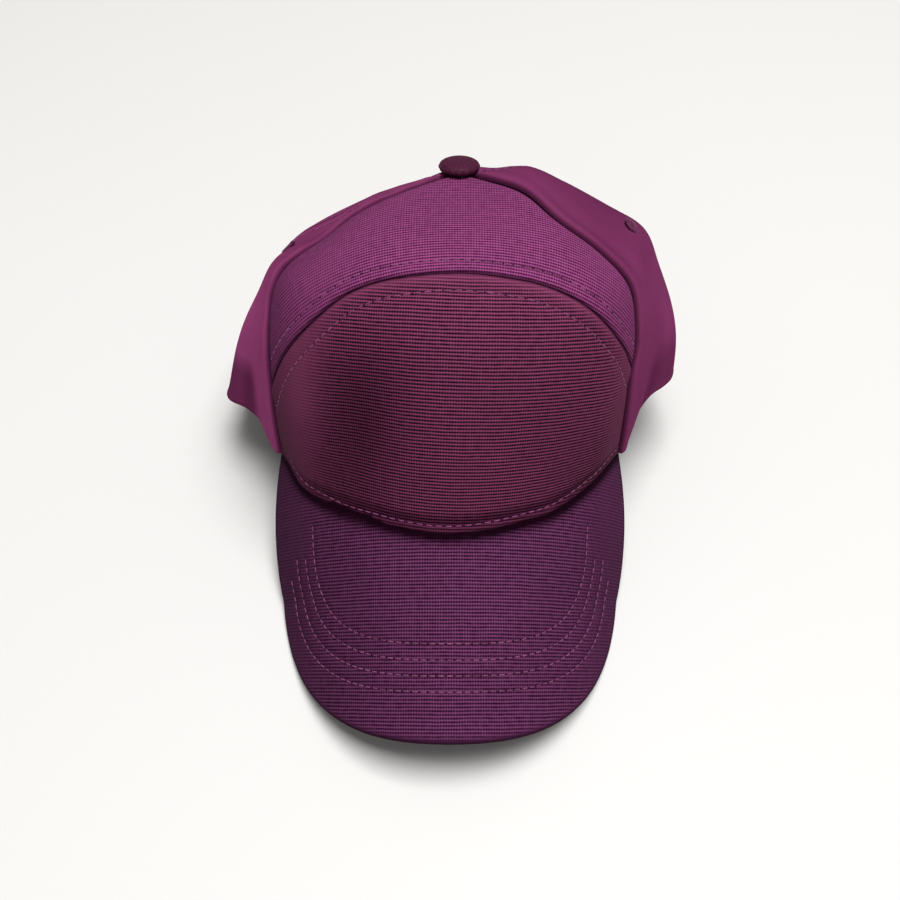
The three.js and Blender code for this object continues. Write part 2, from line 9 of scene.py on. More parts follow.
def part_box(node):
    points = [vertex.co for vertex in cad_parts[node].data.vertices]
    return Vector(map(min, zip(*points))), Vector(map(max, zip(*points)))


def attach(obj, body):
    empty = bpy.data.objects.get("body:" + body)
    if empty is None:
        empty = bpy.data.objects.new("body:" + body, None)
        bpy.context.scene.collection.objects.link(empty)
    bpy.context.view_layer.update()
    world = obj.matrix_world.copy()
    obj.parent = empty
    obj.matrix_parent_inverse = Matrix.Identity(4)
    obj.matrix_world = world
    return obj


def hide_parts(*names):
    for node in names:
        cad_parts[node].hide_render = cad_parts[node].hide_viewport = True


# Seven-panel cap with a curved peak, dressed in its cloth. The crown and the peak are drawn in
# the crown's own frame, in millimetres: its axis is z, the rim lies near z = 0 and the front
# points to -y. A turn is the angle round that axis, from 0 at the front, positive to +x, and a
# share is how far up the crown a point lies, from 0 at the rim to 1 at the button.
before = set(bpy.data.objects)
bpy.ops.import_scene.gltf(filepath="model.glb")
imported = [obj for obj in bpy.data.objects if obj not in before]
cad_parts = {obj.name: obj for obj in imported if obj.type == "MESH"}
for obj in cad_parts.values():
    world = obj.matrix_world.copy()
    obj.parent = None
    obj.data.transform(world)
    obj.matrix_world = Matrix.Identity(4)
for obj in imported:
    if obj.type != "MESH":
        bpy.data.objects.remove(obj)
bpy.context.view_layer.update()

MM = 0.001

# Crown
CROWN_LENGTH = 186
CROWN_WIDTH = 184
CROWN_HEIGHT = 95
PROFILE_LENGTH = 1.35 * CROWN_HEIGHT
CLOTH = 1.2
SEAM_GAP = 0.3
CROWN_LEAN = 3.4
FOLD_DEPTH = 4
FRONT_SEAM_TURN = 59
SIDE_SEAM_TURN = 105
BACK_SEAM_TURN = 150
CROWN_HOLE_RADIUS = 3

# Peak
PEAK_LENGTH = 71.5
PEAK_HALF_WIDTH = 88
PEAK_THICKNESS = 3
PEAK_SLOPE = 43.7
PEAK_MIDDLE_RADIUS = 54
PEAK_SIDE_RADIUS = 110
PEAK_REAR_RADIUS = 75
PEAK_MIDDLE_HALF_ARC = 35
PEAK_REAR_DEPTH = 41
PEAK_CHANGE_AHEAD = 0.5
EDGE_FRONT_SHARE = 0.78
EDGE_SQUARENESS = 0.89
CORNER_LAP = 3

# Trim
EYELET_DIAMETER = 7
EYELET_HOLE_DIAMETER = 2.4
EYELET_CLEARANCE = 0.5
EYELET_SHARE = 0.52
LEFT_EYELET_BACK = 5
BAND_GAP = 0.85
SWEATBAND_WIDTH = 28
SWEATBAND_SET_UP = 4.5
SWEATBAND_THICKNESS = 1
STRAP_WIDTH = 22
STRAP_THICKNESS = 1.6
STRAP_OVERLAP = 8
OPENING_WIDTH = 72
OPENING_HEIGHT = 48

# How the rim stands on the peak and on the floor
PEAK_BITE = 1.2
CORNER_TURN = 11
SETTLED_TURN = 158
RISEN_TURN = 112

# Profiles of the crown, each a cubic curve from the rim up to the button
STATION_COLUMNS = ("turn", "rim", "lift", "wall_out", "wall_up", "roof_out", "roof_up")
STATIONS = (
    (-150, 1.0, 0, 1.03, 0.5, 0.56, 0.74),
    (-120, 1.0, 0, 0.96, 0.56, 0.58, 0.78),
    (-90, 1.0, 0, 0.81, 0.6, 0.7, 0.82),
    (-75, 0.9, 0.055, 0.88, 0.64, 0.74, 0.88),
    (-59, 0.83, 0.02, 0.97, 0.68, 0.77, 0.95),
    (-40, 0.885, 0, 0.92, 0.8, 0.75, 0.96),
    (-20, 0.955, 0, 0.83, 0.93, 0.72, 0.94),
    (0, 1.0, 0, 0.77, 0.98, 0.71, 0.93),
    (20, 0.95, 0, 0.83, 0.93, 0.72, 0.94),
    (40, 0.87, 0, 0.92, 0.8, 0.75, 0.97),
    (59, 0.83, 0.03, 0.96, 0.68, 0.74, 0.99),
    (75, 0.88, 0.11, 0.96, 0.67, 0.67, 1.04),
    (90, 0.99, 0.1, 0.95, 0.69, 0.63, 1.04),
    (120, 1.0, 0, 0.99, 0.58, 0.61, 0.9),
    (150, 1.0, 0, 1.03, 0.5, 0.56, 0.76),
    (180, 1.0, 0, 1.05, 0.48, 0.54, 0.72),
)

# The arch seam across the front
ARCH_COLUMNS = ("turn", "share")
ARCH = (
    (-59, 0.17),
    (-50, 0.285),
    (-38, 0.41),
    (-30, 0.49),
    (-20, 0.535),
    (0, 0.555),
    (20, 0.532),
    (30, 0.497),
    (38, 0.438),
    (50, 0.31),
    (59, 0.225),
)

# How far the side seams of the front bow outwards, in degrees of turn, up each side
SEAM_BOW_COLUMNS = ("share", "left", "right")
SEAM_BOW = (
    (0, 0, 0),
    (0.1, -1.8, -4),
    (0.2, -2, -5),
    (0.3, 0, -1.6),
    (0.45, 5, 0),
    (0.6, 7.6, -1.8),
    (0.75, 5.2, -7),
    (0.9, 2, 0),
    (1, 0, 0),
)

# Dents and soft folds, the same as in the solids: the turn and share of each one's middle, how
# far it reaches in turn and in share, and its height as a share of FOLD_DEPTH
FOLDS = (
    (-25, 0.17, 11, 0.17, -0.75),
    (-43, 0.16, 8, 0.16, 0.3),
    (43, 0.16, 8, 0.14, 0.25),
    (-82, 0.16, 6, 0.22, 0.8),
    (-98, 0.2, 8, 0.2, -0.8),
    (82, 0.12, 6, 0.16, 0.6),
    (98, 0.2, 8, 0.2, -0.6),
    (-82, 0.47, 28, 0.09, 0.6),
    (-82, 0.66, 28, 0.09, -0.7),
    (82, 0.46, 28, 0.08, 0.65),
    (82, 0.62, 28, 0.1, -0.5),
    (88, 0.84, 38, 0.07, 0.6),
    (172, 0.75, 30, 0.12, -0.8),
)

# Short steps over which the cloth's directions are read, and the highest share that is read
PEAK_STEP = 0.5
TURN_STEP = 0.5
SHARE_STEP = 0.004
TOP_READ = 0.98

half_length = CROWN_LENGTH / 2
half_width = CROWN_WIDTH / 2
slope = math.radians(PEAK_SLOPE)
peak_along = np.array([0, -math.cos(slope), -math.sin(slope)])
peak_up = np.array([0, -math.sin(slope), math.cos(slope)])


def smoothstep(x):
    t = np.clip(x, 0, 1)
    return t * t * (3 - 2 * t)


def mix(a, b, t):
    return a + (b - a) * t


def unit(vectors):
    return vectors / np.maximum(np.linalg.norm(vectors, axis=-1, keepdims=True), 1e-12)


def line_length(points):
    return np.linalg.norm(np.diff(points, axis=0), axis=-1).sum()


def lengths_along(points):
    """How far along its line every point lies."""
    steps = np.linalg.norm(np.diff(points, axis=0), axis=-1)
    return np.concatenate([np.zeros((1,) + steps.shape[1:]), np.cumsum(steps, axis=0)])


def read_line(at, along, values):
    """Points or directions at some lengths along a line."""
    return np.stack([np.interp(at, along, values[:, k]) for k in range(3)], axis=-1)


def away_from_front(turn):
    return np.abs((np.asarray(turn, float) + 180) % 360 - 180)


def read_table(rows, columns, at, column, period=0):
    """A smooth curve through one column of a table, read at values of its first column."""
    keys = np.array([row[0] for row in rows], float)
    values = np.array([row[columns.index(column)] for row in rows], float)
    at = np.asarray(at, float)
    if period:
        at = (at - keys[0]) % period + keys[0]
        keys = np.concatenate([[keys[-1] - period], keys, keys[:2] + period])
        values = np.concatenate([[values[-1]], values, values[:2]])
    else:
        keys = np.concatenate([keys[:1], keys, keys[-1:]])
        values = np.concatenate([values[:1], values, values[-1:]])
    i = np.clip(np.searchsorted(keys, at, side="right") - 1, 1, len(keys) - 3)
    span = keys[i + 1] - keys[i]
    t = (at - keys[i]) / span
    slope_in = (values[i + 1] - values[i - 1]) / np.maximum(keys[i + 1] - keys[i - 1], span) * span
    slope_out = (values[i + 2] - values[i]) / np.maximum(keys[i + 2] - keys[i], span) * span
    return (
        (2 * t**3 - 3 * t**2 + 1) * values[i]
        + (t**3 - 2 * t**2 + t) * slope_in
        + (3 * t**2 - 2 * t**3) * values[i + 1]
        + (t**3 - t**2) * slope_out
    )


def station(turn, column):
    return read_table(STATIONS, STATION_COLUMNS, turn, column, 360)


# The peak's surface


def peak_section(arc, forward):
    """How far out and how far down a point of the peak lies, by its place on the cloth."""
    back = np.clip(-forward / PEAK_REAR_DEPTH, -PEAK_CHANGE_AHEAD, 1)
    blend = (back + PEAK_CHANGE_AHEAD) / (1 + PEAK_CHANGE_AHEAD)
    middle = mix(PEAK_MIDDLE_RADIUS, PEAK_REAR_RADIUS, blend)
    side = mix(PEAK_SIDE_RADIUS, PEAK_REAR_RADIUS, blend)
    length = np.abs(arc)
    inner = np.minimum(length, PEAK_MIDDLE_HALF_ARC) / middle
    outer = inner + np.maximum(length - PEAK_MIDDLE_HALF_ARC, 0) / side
    out = middle * np.sin(inner) + side * (np.sin(outer) - np.sin(inner))
    down = middle * (1 - np.cos(inner)) + side * (np.cos(inner) - np.cos(outer))
    return out * np.sign(arc), down


def peak_point(arc, forward):
    out, down = peak_section(arc, forward)
    flat = np.stack([out, np.full_like(out, -half_length), np.zeros_like(out)], axis=-1)
    return flat + forward[..., None] * peak_along - down[..., None] * peak_up


def peak_normal(arc, forward):
    across = peak_point(arc + PEAK_STEP, forward) - peak_point(arc - PEAK_STEP, forward)
    ahead = peak_point(arc, forward + PEAK_STEP) - peak_point(arc, forward - PEAK_STEP)
    return unit(np.cross(ahead, across))


def peak_under(x, y):
    """The place on the peak's cloth under a point of the rim in plan."""
    arc = np.array(x, float)
    forward = np.zeros_like(arc)
    for _ in range(40):
        out, down = peak_section(arc, forward)
        arc = arc + x - out
        reach = -half_length - y
        forward = forward + 0.6 * ((reach + math.sin(slope) * down) / math.cos(slope) - forward)
    return arc, forward


def rim_plan(turn):
    rim = station(turn, "rim")
    angle = np.radians(turn)
    return rim * half_width * np.sin(angle), -rim * half_length * np.cos(angle)


corner_arc, corner_forward = peak_under(*rim_plan(np.array(float(FRONT_SEAM_TURN))))


def peak_edge(share):
    """The peak's outer edge from its tip at 0 to its rear corners at -1 and 1."""
    side = np.sign(share)
    way = np.abs(share)
    angle = np.minimum(way / EDGE_FRONT_SHARE, 1) * math.pi / 2
    back = np.maximum(way - EDGE_FRONT_SHARE, 0) / (1 - EDGE_FRONT_SHARE)
    round_arc = PEAK_HALF_WIDTH * np.sin(angle) ** EDGE_SQUARENESS
    round_forward = PEAK_LENGTH * np.maximum(np.cos(angle), 0) ** EDGE_SQUARENESS
    front = way < EDGE_FRONT_SHARE
    arc = np.where(front, round_arc, mix(PEAK_HALF_WIDTH, corner_arc, back * back))
    forward = np.where(front, round_forward, (corner_forward + CORNER_LAP) * back)
    return side * arc, forward


def peak_grid(share, out):
    """The peak's cloth between the crown's inner face, at out = 0, and its edge, at out = 1."""
    inset = 1 - CLOTH / half_width
    x, y = rim_plan(FRONT_SEAM_TURN * share)
    rear_arc, rear_forward = peak_under(x * inset, y * inset)
    edge_arc, edge_forward = peak_edge(share)
    return mix(rear_arc, edge_arc, out), mix(rear_forward, edge_forward, out)


def rest_tilt():
    arc, forward = peak_edge(np.linspace(0, 1, 201))
    under = peak_point(arc, forward) - PEAK_THICKNESS * peak_normal(arc, forward)
    return np.max(np.arctan2(-under[:, 2], half_length - under[:, 1]))


tilt = rest_tilt()


def tipped_back(points):
    x, y, z = np.moveaxis(np.asarray(points, float), -1, 0)
    back = y * math.cos(tilt) + z * math.sin(tilt)
    up = z * math.cos(tilt) - y * math.sin(tilt)
    return np.stack([x, back, up], axis=-1)


def solid_peak_corner():
    """The lowest corner of the solid peak's box, in the crown's frame tipped back."""
    share, out = np.meshgrid(np.linspace(-1, 1, 35), np.linspace(0, 1, 9))
    arc, forward = peak_grid(share, out)
    top = peak_point(arc, forward)
    under = top - PEAK_THICKNESS * peak_normal(arc, forward)
    return tipped_back(np.stack([top, under])).reshape(-1, 3).min(axis=0)


frame_offset = np.array(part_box("peak")[0]) / MM - solid_peak_corner()


def to_frame(points):
    """From the crown's frame to the part's frame, in metres."""
    return (tipped_back(points) + frame_offset) * MM


# The crown's surface


def rim_lift(turn):
    away = away_from_front(turn)
    x, y = rim_plan(turn)
    to_floor = -(half_length - y) * math.tan(tilt)
    settle = smoothstep((away - RISEN_TURN) / (SETTLED_TURN - RISEN_TURN))
    arc, forward = peak_under(x, y)
    on_peak = peak_point(arc, forward)[..., 2] - PEAK_BITE
    stand = 1 - smoothstep((away - FRONT_SEAM_TURN) / CORNER_TURN)
    free = station(turn, "lift") * CROWN_HEIGHT
    return on_peak * stand + free * (1 - stand) * (1 - settle) + to_floor * settle


def bezier(p0, p1, p2, p3, t):
    s = 1 - t
    return s**3 * p0 + 3 * s * s * t * p1 + 3 * s * t * t * p2 + t**3 * p3


def smooth_crown(turn, share):
    turn, share = np.broadcast_arrays(np.asarray(turn, float), np.asarray(share, float))
    out = bezier(station(turn, "rim"), station(turn, "wall_out"), station(turn, "roof_out"), 0, share)
    up = bezier(0, station(turn, "wall_up"), station(turn, "roof_up"), 1, share) * CROWN_HEIGHT
    angle = np.radians(turn)
    x = out * half_width * np.sin(angle) + CROWN_LEAN * up / CROWN_HEIGHT
    y = -out * half_length * np.cos(angle)
    return np.stack([x, y, up + rim_lift(turn) * (1 - share) ** 3], axis=-1)


def reach_from_axis(points):
    return np.hypot(points[..., 0] - CROWN_LEAN, points[..., 1])


def crown_normal(turn, share):
    low = np.maximum(share - SHARE_STEP, 0)
    high = np.minimum(share + SHARE_STEP, TOP_READ)
    across = smooth_crown(turn + TURN_STEP, share) - smooth_crown(turn - TURN_STEP, share)
    up = smooth_crown(turn, high) - smooth_crown(turn, low)
    return unit(np.cross(across, up))


def fold_height(turn, share):
    height = 0
    for fold_turn, fold_share, turn_reach, share_reach, depth in FOLDS:
        apart = away_from_front(turn - fold_turn)
        far = (apart / turn_reach) ** 2 + ((share - fold_share) / share_reach) ** 2
        height = height + depth * FOLD_DEPTH * np.exp(-far)
    return height


def crown(turn, share):
    """The crown's outer face and its direction outwards."""
    normal = crown_normal(turn, share)
    return smooth_crown(turn, share) + fold_height(turn, share)[..., None] * normal, normal


def press_on_floor(points):
    height = (half_length - points[..., 1]) * math.sin(tilt) + points[..., 2] * math.cos(tilt)
    floor = -(half_length - points[..., 1]) * math.tan(tilt)
    points[..., 2] = np.where(height < 0, floor, points[..., 2])
    return points


def share_at_reach(turn, reach):
    low = np.full(np.shape(turn), 0.5)
    high = np.ones(np.shape(turn))
    for _ in range(30):
        middle = (low + high) / 2
        outside = reach_from_axis(smooth_crown(turn, middle)) > reach
        low = np.where(outside, middle, low)
        high = np.where(outside, high, middle)
    return low


def share_at_rise(turn, rise):
    """How far up the crown a profile has risen by some length of cloth from its rim."""
    shares = np.linspace(0, 1, 41)
    points = smooth_crown(np.asarray(turn, float)[None, :], shares[:, None])
    return np.array([np.interp(rise, along, shares) for along in lengths_along(points).T])


def bowed(turn, share):
    away = away_from_front(turn)
    left = (np.asarray(turn) > 180) | (np.asarray(turn) < 0)
    left_bow = read_table(SEAM_BOW, SEAM_BOW_COLUMNS, share, "left")
    right_bow = read_table(SEAM_BOW, SEAM_BOW_COLUMNS, share, "right")
    behind = np.maximum(0, 1 - (away - FRONT_SEAM_TURN) / (SIDE_SEAM_TURN - FRONT_SEAM_TURN))
    near = np.where(away < FRONT_SEAM_TURN, away / FRONT_SEAM_TURN, behind)
    return turn + np.where(left, -left_bow, right_bow) * near


def rim_share(turn):
    return np.zeros_like(turn)


def arch_share(turn):
    return read_table(ARCH, ARCH_COLUMNS, turn, "share")


def top_share(turn):
    return share_at_reach(turn, CROWN_HOLE_RADIUS)


opening_half_turn = math.degrees(OPENING_WIDTH / 2 / half_width)
opening_top = share_at_rise(np.array([180.0]), OPENING_HEIGHT)[0]


def opening_share(turn):
    across = (turn - 180) / opening_half_turn
    return opening_top * np.sqrt(np.maximum(1 - across**2, 0))


# Cloth as grids of points

# How much closer together steps lie at their ends, and the columns beside the back opening
CROWDING = 0.6
FOOT_COLUMNS = 10


def crowded(count):
    """Steps from 0 to 1 that lie closer together at both ends."""
    t = np.linspace(0, 1, count + 1)
    return t - CROWDING * np.sin(2 * math.pi * t) / (2 * math.pi)


def opening_steps(count, start):
    """Steps across the centre back panel, crowded at the feet of its opening."""
    angle = np.linspace(0, math.pi, count - 2 * FOOT_COLUMNS + 1)
    middle = start + (1 - 2 * start) * (1 - np.cos(angle)) / 2
    ends = np.linspace(0, start, FOOT_COLUMNS + 1)[:-1]
    return np.concatenate([ends, middle, 1 - ends[::-1]])


def panel_places(ends, bottom, top, across, up):
    """Turns and shares of a panel's grid, short of its neighbours by half the seam gap."""
    half = SEAM_GAP / 2
    plain = mix(ends[0], ends[1], across)[None, :]
    low = bottom(plain) + (0 if bottom is rim_share else half / PROFILE_LENGTH)
    high = top(plain) - (0 if top is top_share else half / PROFILE_LENGTH)
    share = mix(low, high, up[:, None])
    trim = np.degrees(half / reach_from_axis(smooth_crown(plain, share)))
    return bowed(plain, share) + trim * (1 - 2 * across[None, :]), share


def dense_line(points, step=0.25):
    along = lengths_along(points)
    return read_line(np.arange(0, along[-1] + step, step), along, points)


def distance_to(points, line):
    """How far every point of a grid lies from a line."""
    line = dense_line(line)
    tree = KDTree(len(line))
    for i, point in enumerate(line):
        tree.insert(point, i)
    tree.balance()
    flat = points.reshape(-1, 3)
    return np.array([tree.find(point)[2] for point in flat]).reshape(points.shape[:-1])


def grid_normals(points):
    across = np.gradient(points, axis=1)
    up = np.gradient(points, axis=0)
    return unit(np.cross(across, up))


# How much a roll swells and sinks along its edge
ROLL_RIPPLE = 0.35
# Each ripple's strength, its angle for a millimetre along the edge and its angle at the start
RIPPLES = ((0.6, 0.31, 0.0), (0.4, 0.83, 1.7))
STITCH_SINK = 0.28
STITCH_SINK_REACH = 1.1


def stitch_sink(distance):
    return STITCH_SINK * np.exp(-((distance / STITCH_SINK_REACH) ** 2))


class Edge:
    """How a panel's cloth lies along one of its edges, in millimetres.

    roll is the height of the soft roll beside the edge, tuck how far the edge itself turns
    under, rows the distances of its rows of stitches, shade how dark the edge is and smooth how
    far its ribs are flattened.
    """

    def __init__(self, roll=0.0, roll_at=2.4, tuck=0.0, tuck_reach=1.6, rows=(), shade=0.0, smooth=0.0):
        self.roll = roll
        self.roll_at = roll_at
        self.tuck = tuck
        self.tuck_reach = tuck_reach
        self.rows = rows
        self.shade = shade
        self.smooth = smooth

    def height(self, distance, ripple):
        near = np.exp(-(((distance - self.roll_at) / self.roll_at) ** 2))
        roll = self.roll * (1 + ROLL_RIPPLE * ripple) * near
        tuck = self.tuck * np.clip(1 - distance / self.tuck_reach, 0, 1) ** 2
        return roll - tuck - sum(stitch_sink(distance - row) for row in self.rows)


class Cloth:
    """A grid of cloth with the distances of its points from its sewn or hemmed edges."""

    def __init__(self, points, edges):
        self.edges = edges
        lines = {
            "start": points[:, 0],
            "end": points[:, -1],
            "bottom": points[0],
            "top": points[-1],
        }
        self.distance = {side: distance_to(points, lines[side]) for side in edges}
        self.normals = grid_normals(points)
        along = np.cumsum(np.linalg.norm(np.gradient(points, axis=1), axis=-1), axis=1)
        ripple = sum(strength * np.sin(along * turn + start) for strength, turn, start in RIPPLES)
        height = sum(edge.height(self.distance[side], ripple) for side, edge in edges.items())
        self.points = points + np.asarray(height)[..., None] * self.normals

    def mask(self, quality, reach):
        """One number a point, from 1 on an edge with that quality to 0 away from it."""
        value = np.zeros(self.points.shape[:-1])
        for side, edge in self.edges.items():
            near = getattr(edge, quality) * np.exp(-((self.distance[side] / reach) ** 2))
            value = np.maximum(value, near)
        return value

    def row_line(self, side, row):
        """Points and outward directions along a row of stitches beside one edge."""
        grids = (self.distance[side], self.points, self.normals)
        if side in ("start", "end"):
            grids = [np.swapaxes(grid, 0, 1) for grid in grids]
        from_last = side in ("top", "end")
        return [across_columns(grids[0], grid, row, from_last) for grid in grids[1:]]


def across_columns(distance, grid, row, from_last):
    """Where each column of a grid is some distance from its first or last row."""
    if from_last:
        distance = distance[::-1]
        grid = grid[::-1]
    found = []
    for i in range(distance.shape[1]):
        column = np.maximum.accumulate(distance[:, i])
        if column[-1] <= row:
            continue
        at = np.interp(row, column, np.arange(len(column)))
        low = int(min(at, len(column) - 2))
        found.append(mix(grid[low, i], grid[low + 1, i], at - low))
    return np.array(found)


# Modelling with Blender's own tools


def deselect_all():
    for obj in bpy.context.selected_objects:
        obj.select_set(False)


def only(obj):
    deselect_all()
    obj.select_set(True)
    bpy.context.view_layer.objects.active = obj


def named(name):
    obj = bpy.context.view_layer.objects.active
    obj.name = name
    obj.data.name = name
    return obj


def apply_modifier(obj, kind, **settings):
    only(obj)
    modifier = obj.modifiers.new(kind.title(), kind)
    for key, value in settings.items():
        setattr(modifier, key, value)
    bpy.ops.object.modifier_apply(modifier=modifier.name)


def move_points(obj, points):
    obj.data.vertices.foreach_set("co", np.ascontiguousarray(points, np.float32).ravel())
    obj.data.update()


def read_values(items, key, width, kind=np.float32):
    """Numbers of all of a mesh's points or corners, a row for each."""
    values = np.empty((len(items), width), kind)
    items.foreach_get(key, values.ravel())
    return values


def read_points(obj):
    return read_values(obj.data.vertices, "co", 3).astype(float)


def corner_points(obj):
    """The number of the point that every corner of a face stands on."""
    return read_values(obj.data.loops, "vertex_index", 1, np.int32)[:, 0]


def write_pattern(layer, corners):
    layer.uv.foreach_set("vector", corners.astype(np.float32).ravel())


def put_in_frame(obj):
    """Moves a piece from the crown's frame to the part's frame."""
    move_points(obj, to_frame(read_points(obj)))


def mark_points(obj, name, values):
    layer = obj.data.attributes.new(name, "FLOAT", "POINT")
    layer.data.foreach_set("value", np.ascontiguousarray(values, np.float32).ravel())


# Painted light: the way that each kind of piece faces where it is painted lightest, and the facings along
# that way at which its painted light starts and is full
LIGHT_ON_FRONT = ((0.15, -0.25, 0.95), 0.0, 1.0)
LIGHT_ON_LEFT = ((-0.15, -0.75, 0.5), -0.4, 0.75)
LIGHT_ON_RIGHT = ((-0.15, -0.75, 0.5), -0.4, 1.4)
LIGHT_ON_BACK = ((0.0, 0.4, 0.7), -0.6, 1.8)


def mark_painted_light(obj, kind, hollow=0.0):
    """Marks painted light: most where the cloth faces the light, less in its hollows and wherever painted
    shade is given.
    """
    way, low, high = kind
    facing = read_values(obj.data.vertex_normals, "vector", 3)
    # Painted light grows with how far each point faces the light's way
    lit_share = (facing @ np.array(way) - low) / (high - low)
    mark_points(obj, "painted_light", np.clip(lit_share - np.ravel(hollow), 0, 1))


def cloth_grid(name, points):
    """A plain grid whose points are laid on the cloth's surface."""
    rows, columns = points.shape[0] - 1, points.shape[1] - 1
    deselect_all()
    bpy.ops.mesh.primitive_grid_add(x_subdivisions=columns, y_subdivisions=rows, size=1)
    obj = named(name)
    move_points(obj, to_frame(points).reshape(-1, 3))
    return obj


def lay_out_pattern(obj, shape):
    """Flattens the piece into its pattern, in metres, with the middle column upright."""
    only(obj)
    bpy.ops.object.mode_set(mode="EDIT")
    bpy.ops.mesh.select_all(action="SELECT")
    bpy.ops.uv.unwrap(method="ANGLE_BASED", margin=0)
    bpy.ops.object.mode_set(mode="OBJECT")
    layer = obj.data.uv_layers.active
    layer.name = "pattern"
    corners = read_values(layer.uv, "vector", 2).astype(float)
    flat = np.zeros((len(obj.data.vertices), 2))
    flat[corner_points(obj)] = corners
    flat = flat.reshape(*shape, 2)[:, shape[1] // 2]
    real = read_points(obj).reshape(*shape, 3)[:, shape[1] // 2]
    up = unit(flat[-1] - flat[0])
    turn = np.array([[up[1], -up[0]], [up[0], up[1]]])
    corners = (corners - flat[0]) @ turn.T * (line_length(real) / line_length(flat))
    write_pattern(layer, corners)
    spread = corners.max(axis=0) - corners.min(axis=0)
    return float(spread[0]), float(spread[1])


def face_area(obj):
    return sum(polygon.area for polygon in obj.data.polygons)


def keep_above_floor(obj):
    points = read_points(obj)
    points[:, 2] = np.maximum(points[:, 2], 0)
    move_points(obj, points)


CUT_EDGE_WIDTH = 0.25
CUT_EDGE_ANGLE = 50


def finish_sheet(obj, thickness):
    """Gives a grid its thickness inwards and rounds its cut edges."""
    apply_modifier(obj, "SOLIDIFY", thickness=thickness * MM, offset=-1, use_quality_normals=True)
    apply_modifier(
        obj,
        "BEVEL",
        width=CUT_EDGE_WIDTH * MM,
        segments=2,
        limit_method="ANGLE",
        angle_limit=math.radians(CUT_EDGE_ANGLE),
        use_clamp_overlap=True,
    )
    keep_above_floor(obj)
    only(obj)
    bpy.ops.object.shade_smooth()


# Materials


class Finish:
    """A node material, with short ways to add its nodes."""

    def __init__(self, name):
        self.material = bpy.data.materials.new(name)
        self.material.use_nodes = True
        self.tree = self.material.node_tree
        self.shader = self.tree.nodes["Principled BSDF"]

    def node(self, kind, values=None, **settings):
        node = self.tree.nodes.new("ShaderNode" + kind)
        for key, value in settings.items():
            setattr(node, key, value)
        self.fill(node, values or {})
        return node

    def fill(self, node, values):
        for key, value in values.items():
            self.set(node.inputs[key], value)

    def surface(self, values):
        self.fill(self.shader, values)

    def set(self, socket, value):
        if isinstance(value, bpy.types.NodeSocket):
            self.tree.links.new(value, socket)
        else:
            socket.default_value = value

    def math(self, operation, a, b=0.0, c=0.0):
        return self.node("Math", {0: a, 1: b, 2: c}, operation=operation).outputs[0]

    def plus(self, a, b):
        return self.math("ADD", a, b)

    def times(self, a, b):
        return self.math("MULTIPLY", a, b)

    def times_plus(self, a, b, c):
        return self.math("MULTIPLY_ADD", a, b, c)

    def noise(self, vector, scale, detail=3.0):
        node = self.node("TexNoise", {"Vector": vector, "Scale": scale, "Detail": detail})
        return node.outputs["Fac"]

    def ramp(self, factor, low, high):
        node = self.node("MapRange", {"Value": factor, "From Min": low, "From Max": high})
        return node.outputs["Result"]

    def blend(self, factor, a, b, mode="MIX"):
        node = self.node("Mix", data_type="RGBA", blend_type=mode)
        self.fill(node, {"Factor": factor, "A": a, "B": b})
        return node.outputs["Result"]

    def pattern(self):
        """Across and up the piece's own pattern, in metres."""
        place = self.node("UVMap", uv_map="pattern").outputs["UV"]
        parts = self.node("SeparateXYZ", {"Vector": place})
        return place, parts.outputs["X"], parts.outputs["Y"]

    def place(self):
        return self.node("TexCoord").outputs["Object"]

    def mark(self, name):
        return self.node("Attribute", attribute_name=name).outputs["Fac"]

    def waves(self, coordinate, pitch):
        """0 in the troughs and 1 on the crests of threads laid side by side."""
        turned = self.times(coordinate, 2 * math.pi / (pitch * MM))
        return self.times_plus(self.math("COSINE", turned), 0.5, 0.5)

    def wander(self, place, scale, detail=3.0):
        """A length that drifts to either side of nothing, as threads stray from their lines."""
        return self.times_plus(self.noise(place, scale, detail), WANDER * MM, -WANDER / 2 * MM)

    def painted_light_and_shade(self, base, edge):
        """The cloth's colour darkened as painted shade where no painted light falls, and the painted shade
        that gathers along its seams.
        """
        # Painted shade where the painted light mark is low
        unlit = self.blend(1.0, base, UNLIT_TINT, "MULTIPLY")
        return self.blend(self.mark("seam_shade"), self.blend(self.mark("painted_light"), unlit, base), edge)

    def bump(self, height, distance):
        node = self.node("Bump", {"Height": height, "Distance": distance * MM, "Strength": 1.0})
        self.set(self.shader.inputs["Normal"], node.outputs["Normal"])


def colour(red, green, blue):
    """A screen colour from 0 to 255 as linear light."""

    def linear(value):
        value = value / 255
        return value / 12.92 if value <= 0.04045 else ((value + 0.055) / 1.055) ** 2.4

    return (linear(red), linear(green), linear(blue), 1.0)


# The weave, in millimetres: from rib to rib, from thread to thread, from line to line of the
# close cloth's twill, and how far a thread strays
RIB_PITCH = 1.22
THREAD_PITCH = 0.92
TWILL_PITCH = 0.55
WANDER = 0.5
# How the cloth's colour is darkened as painted shade where no painted light falls, and how much paler its
# patches are
UNLIT_TINT = (0.30, 0.26, 0.30, 1.0)
PATCH_VALUE = 1.12


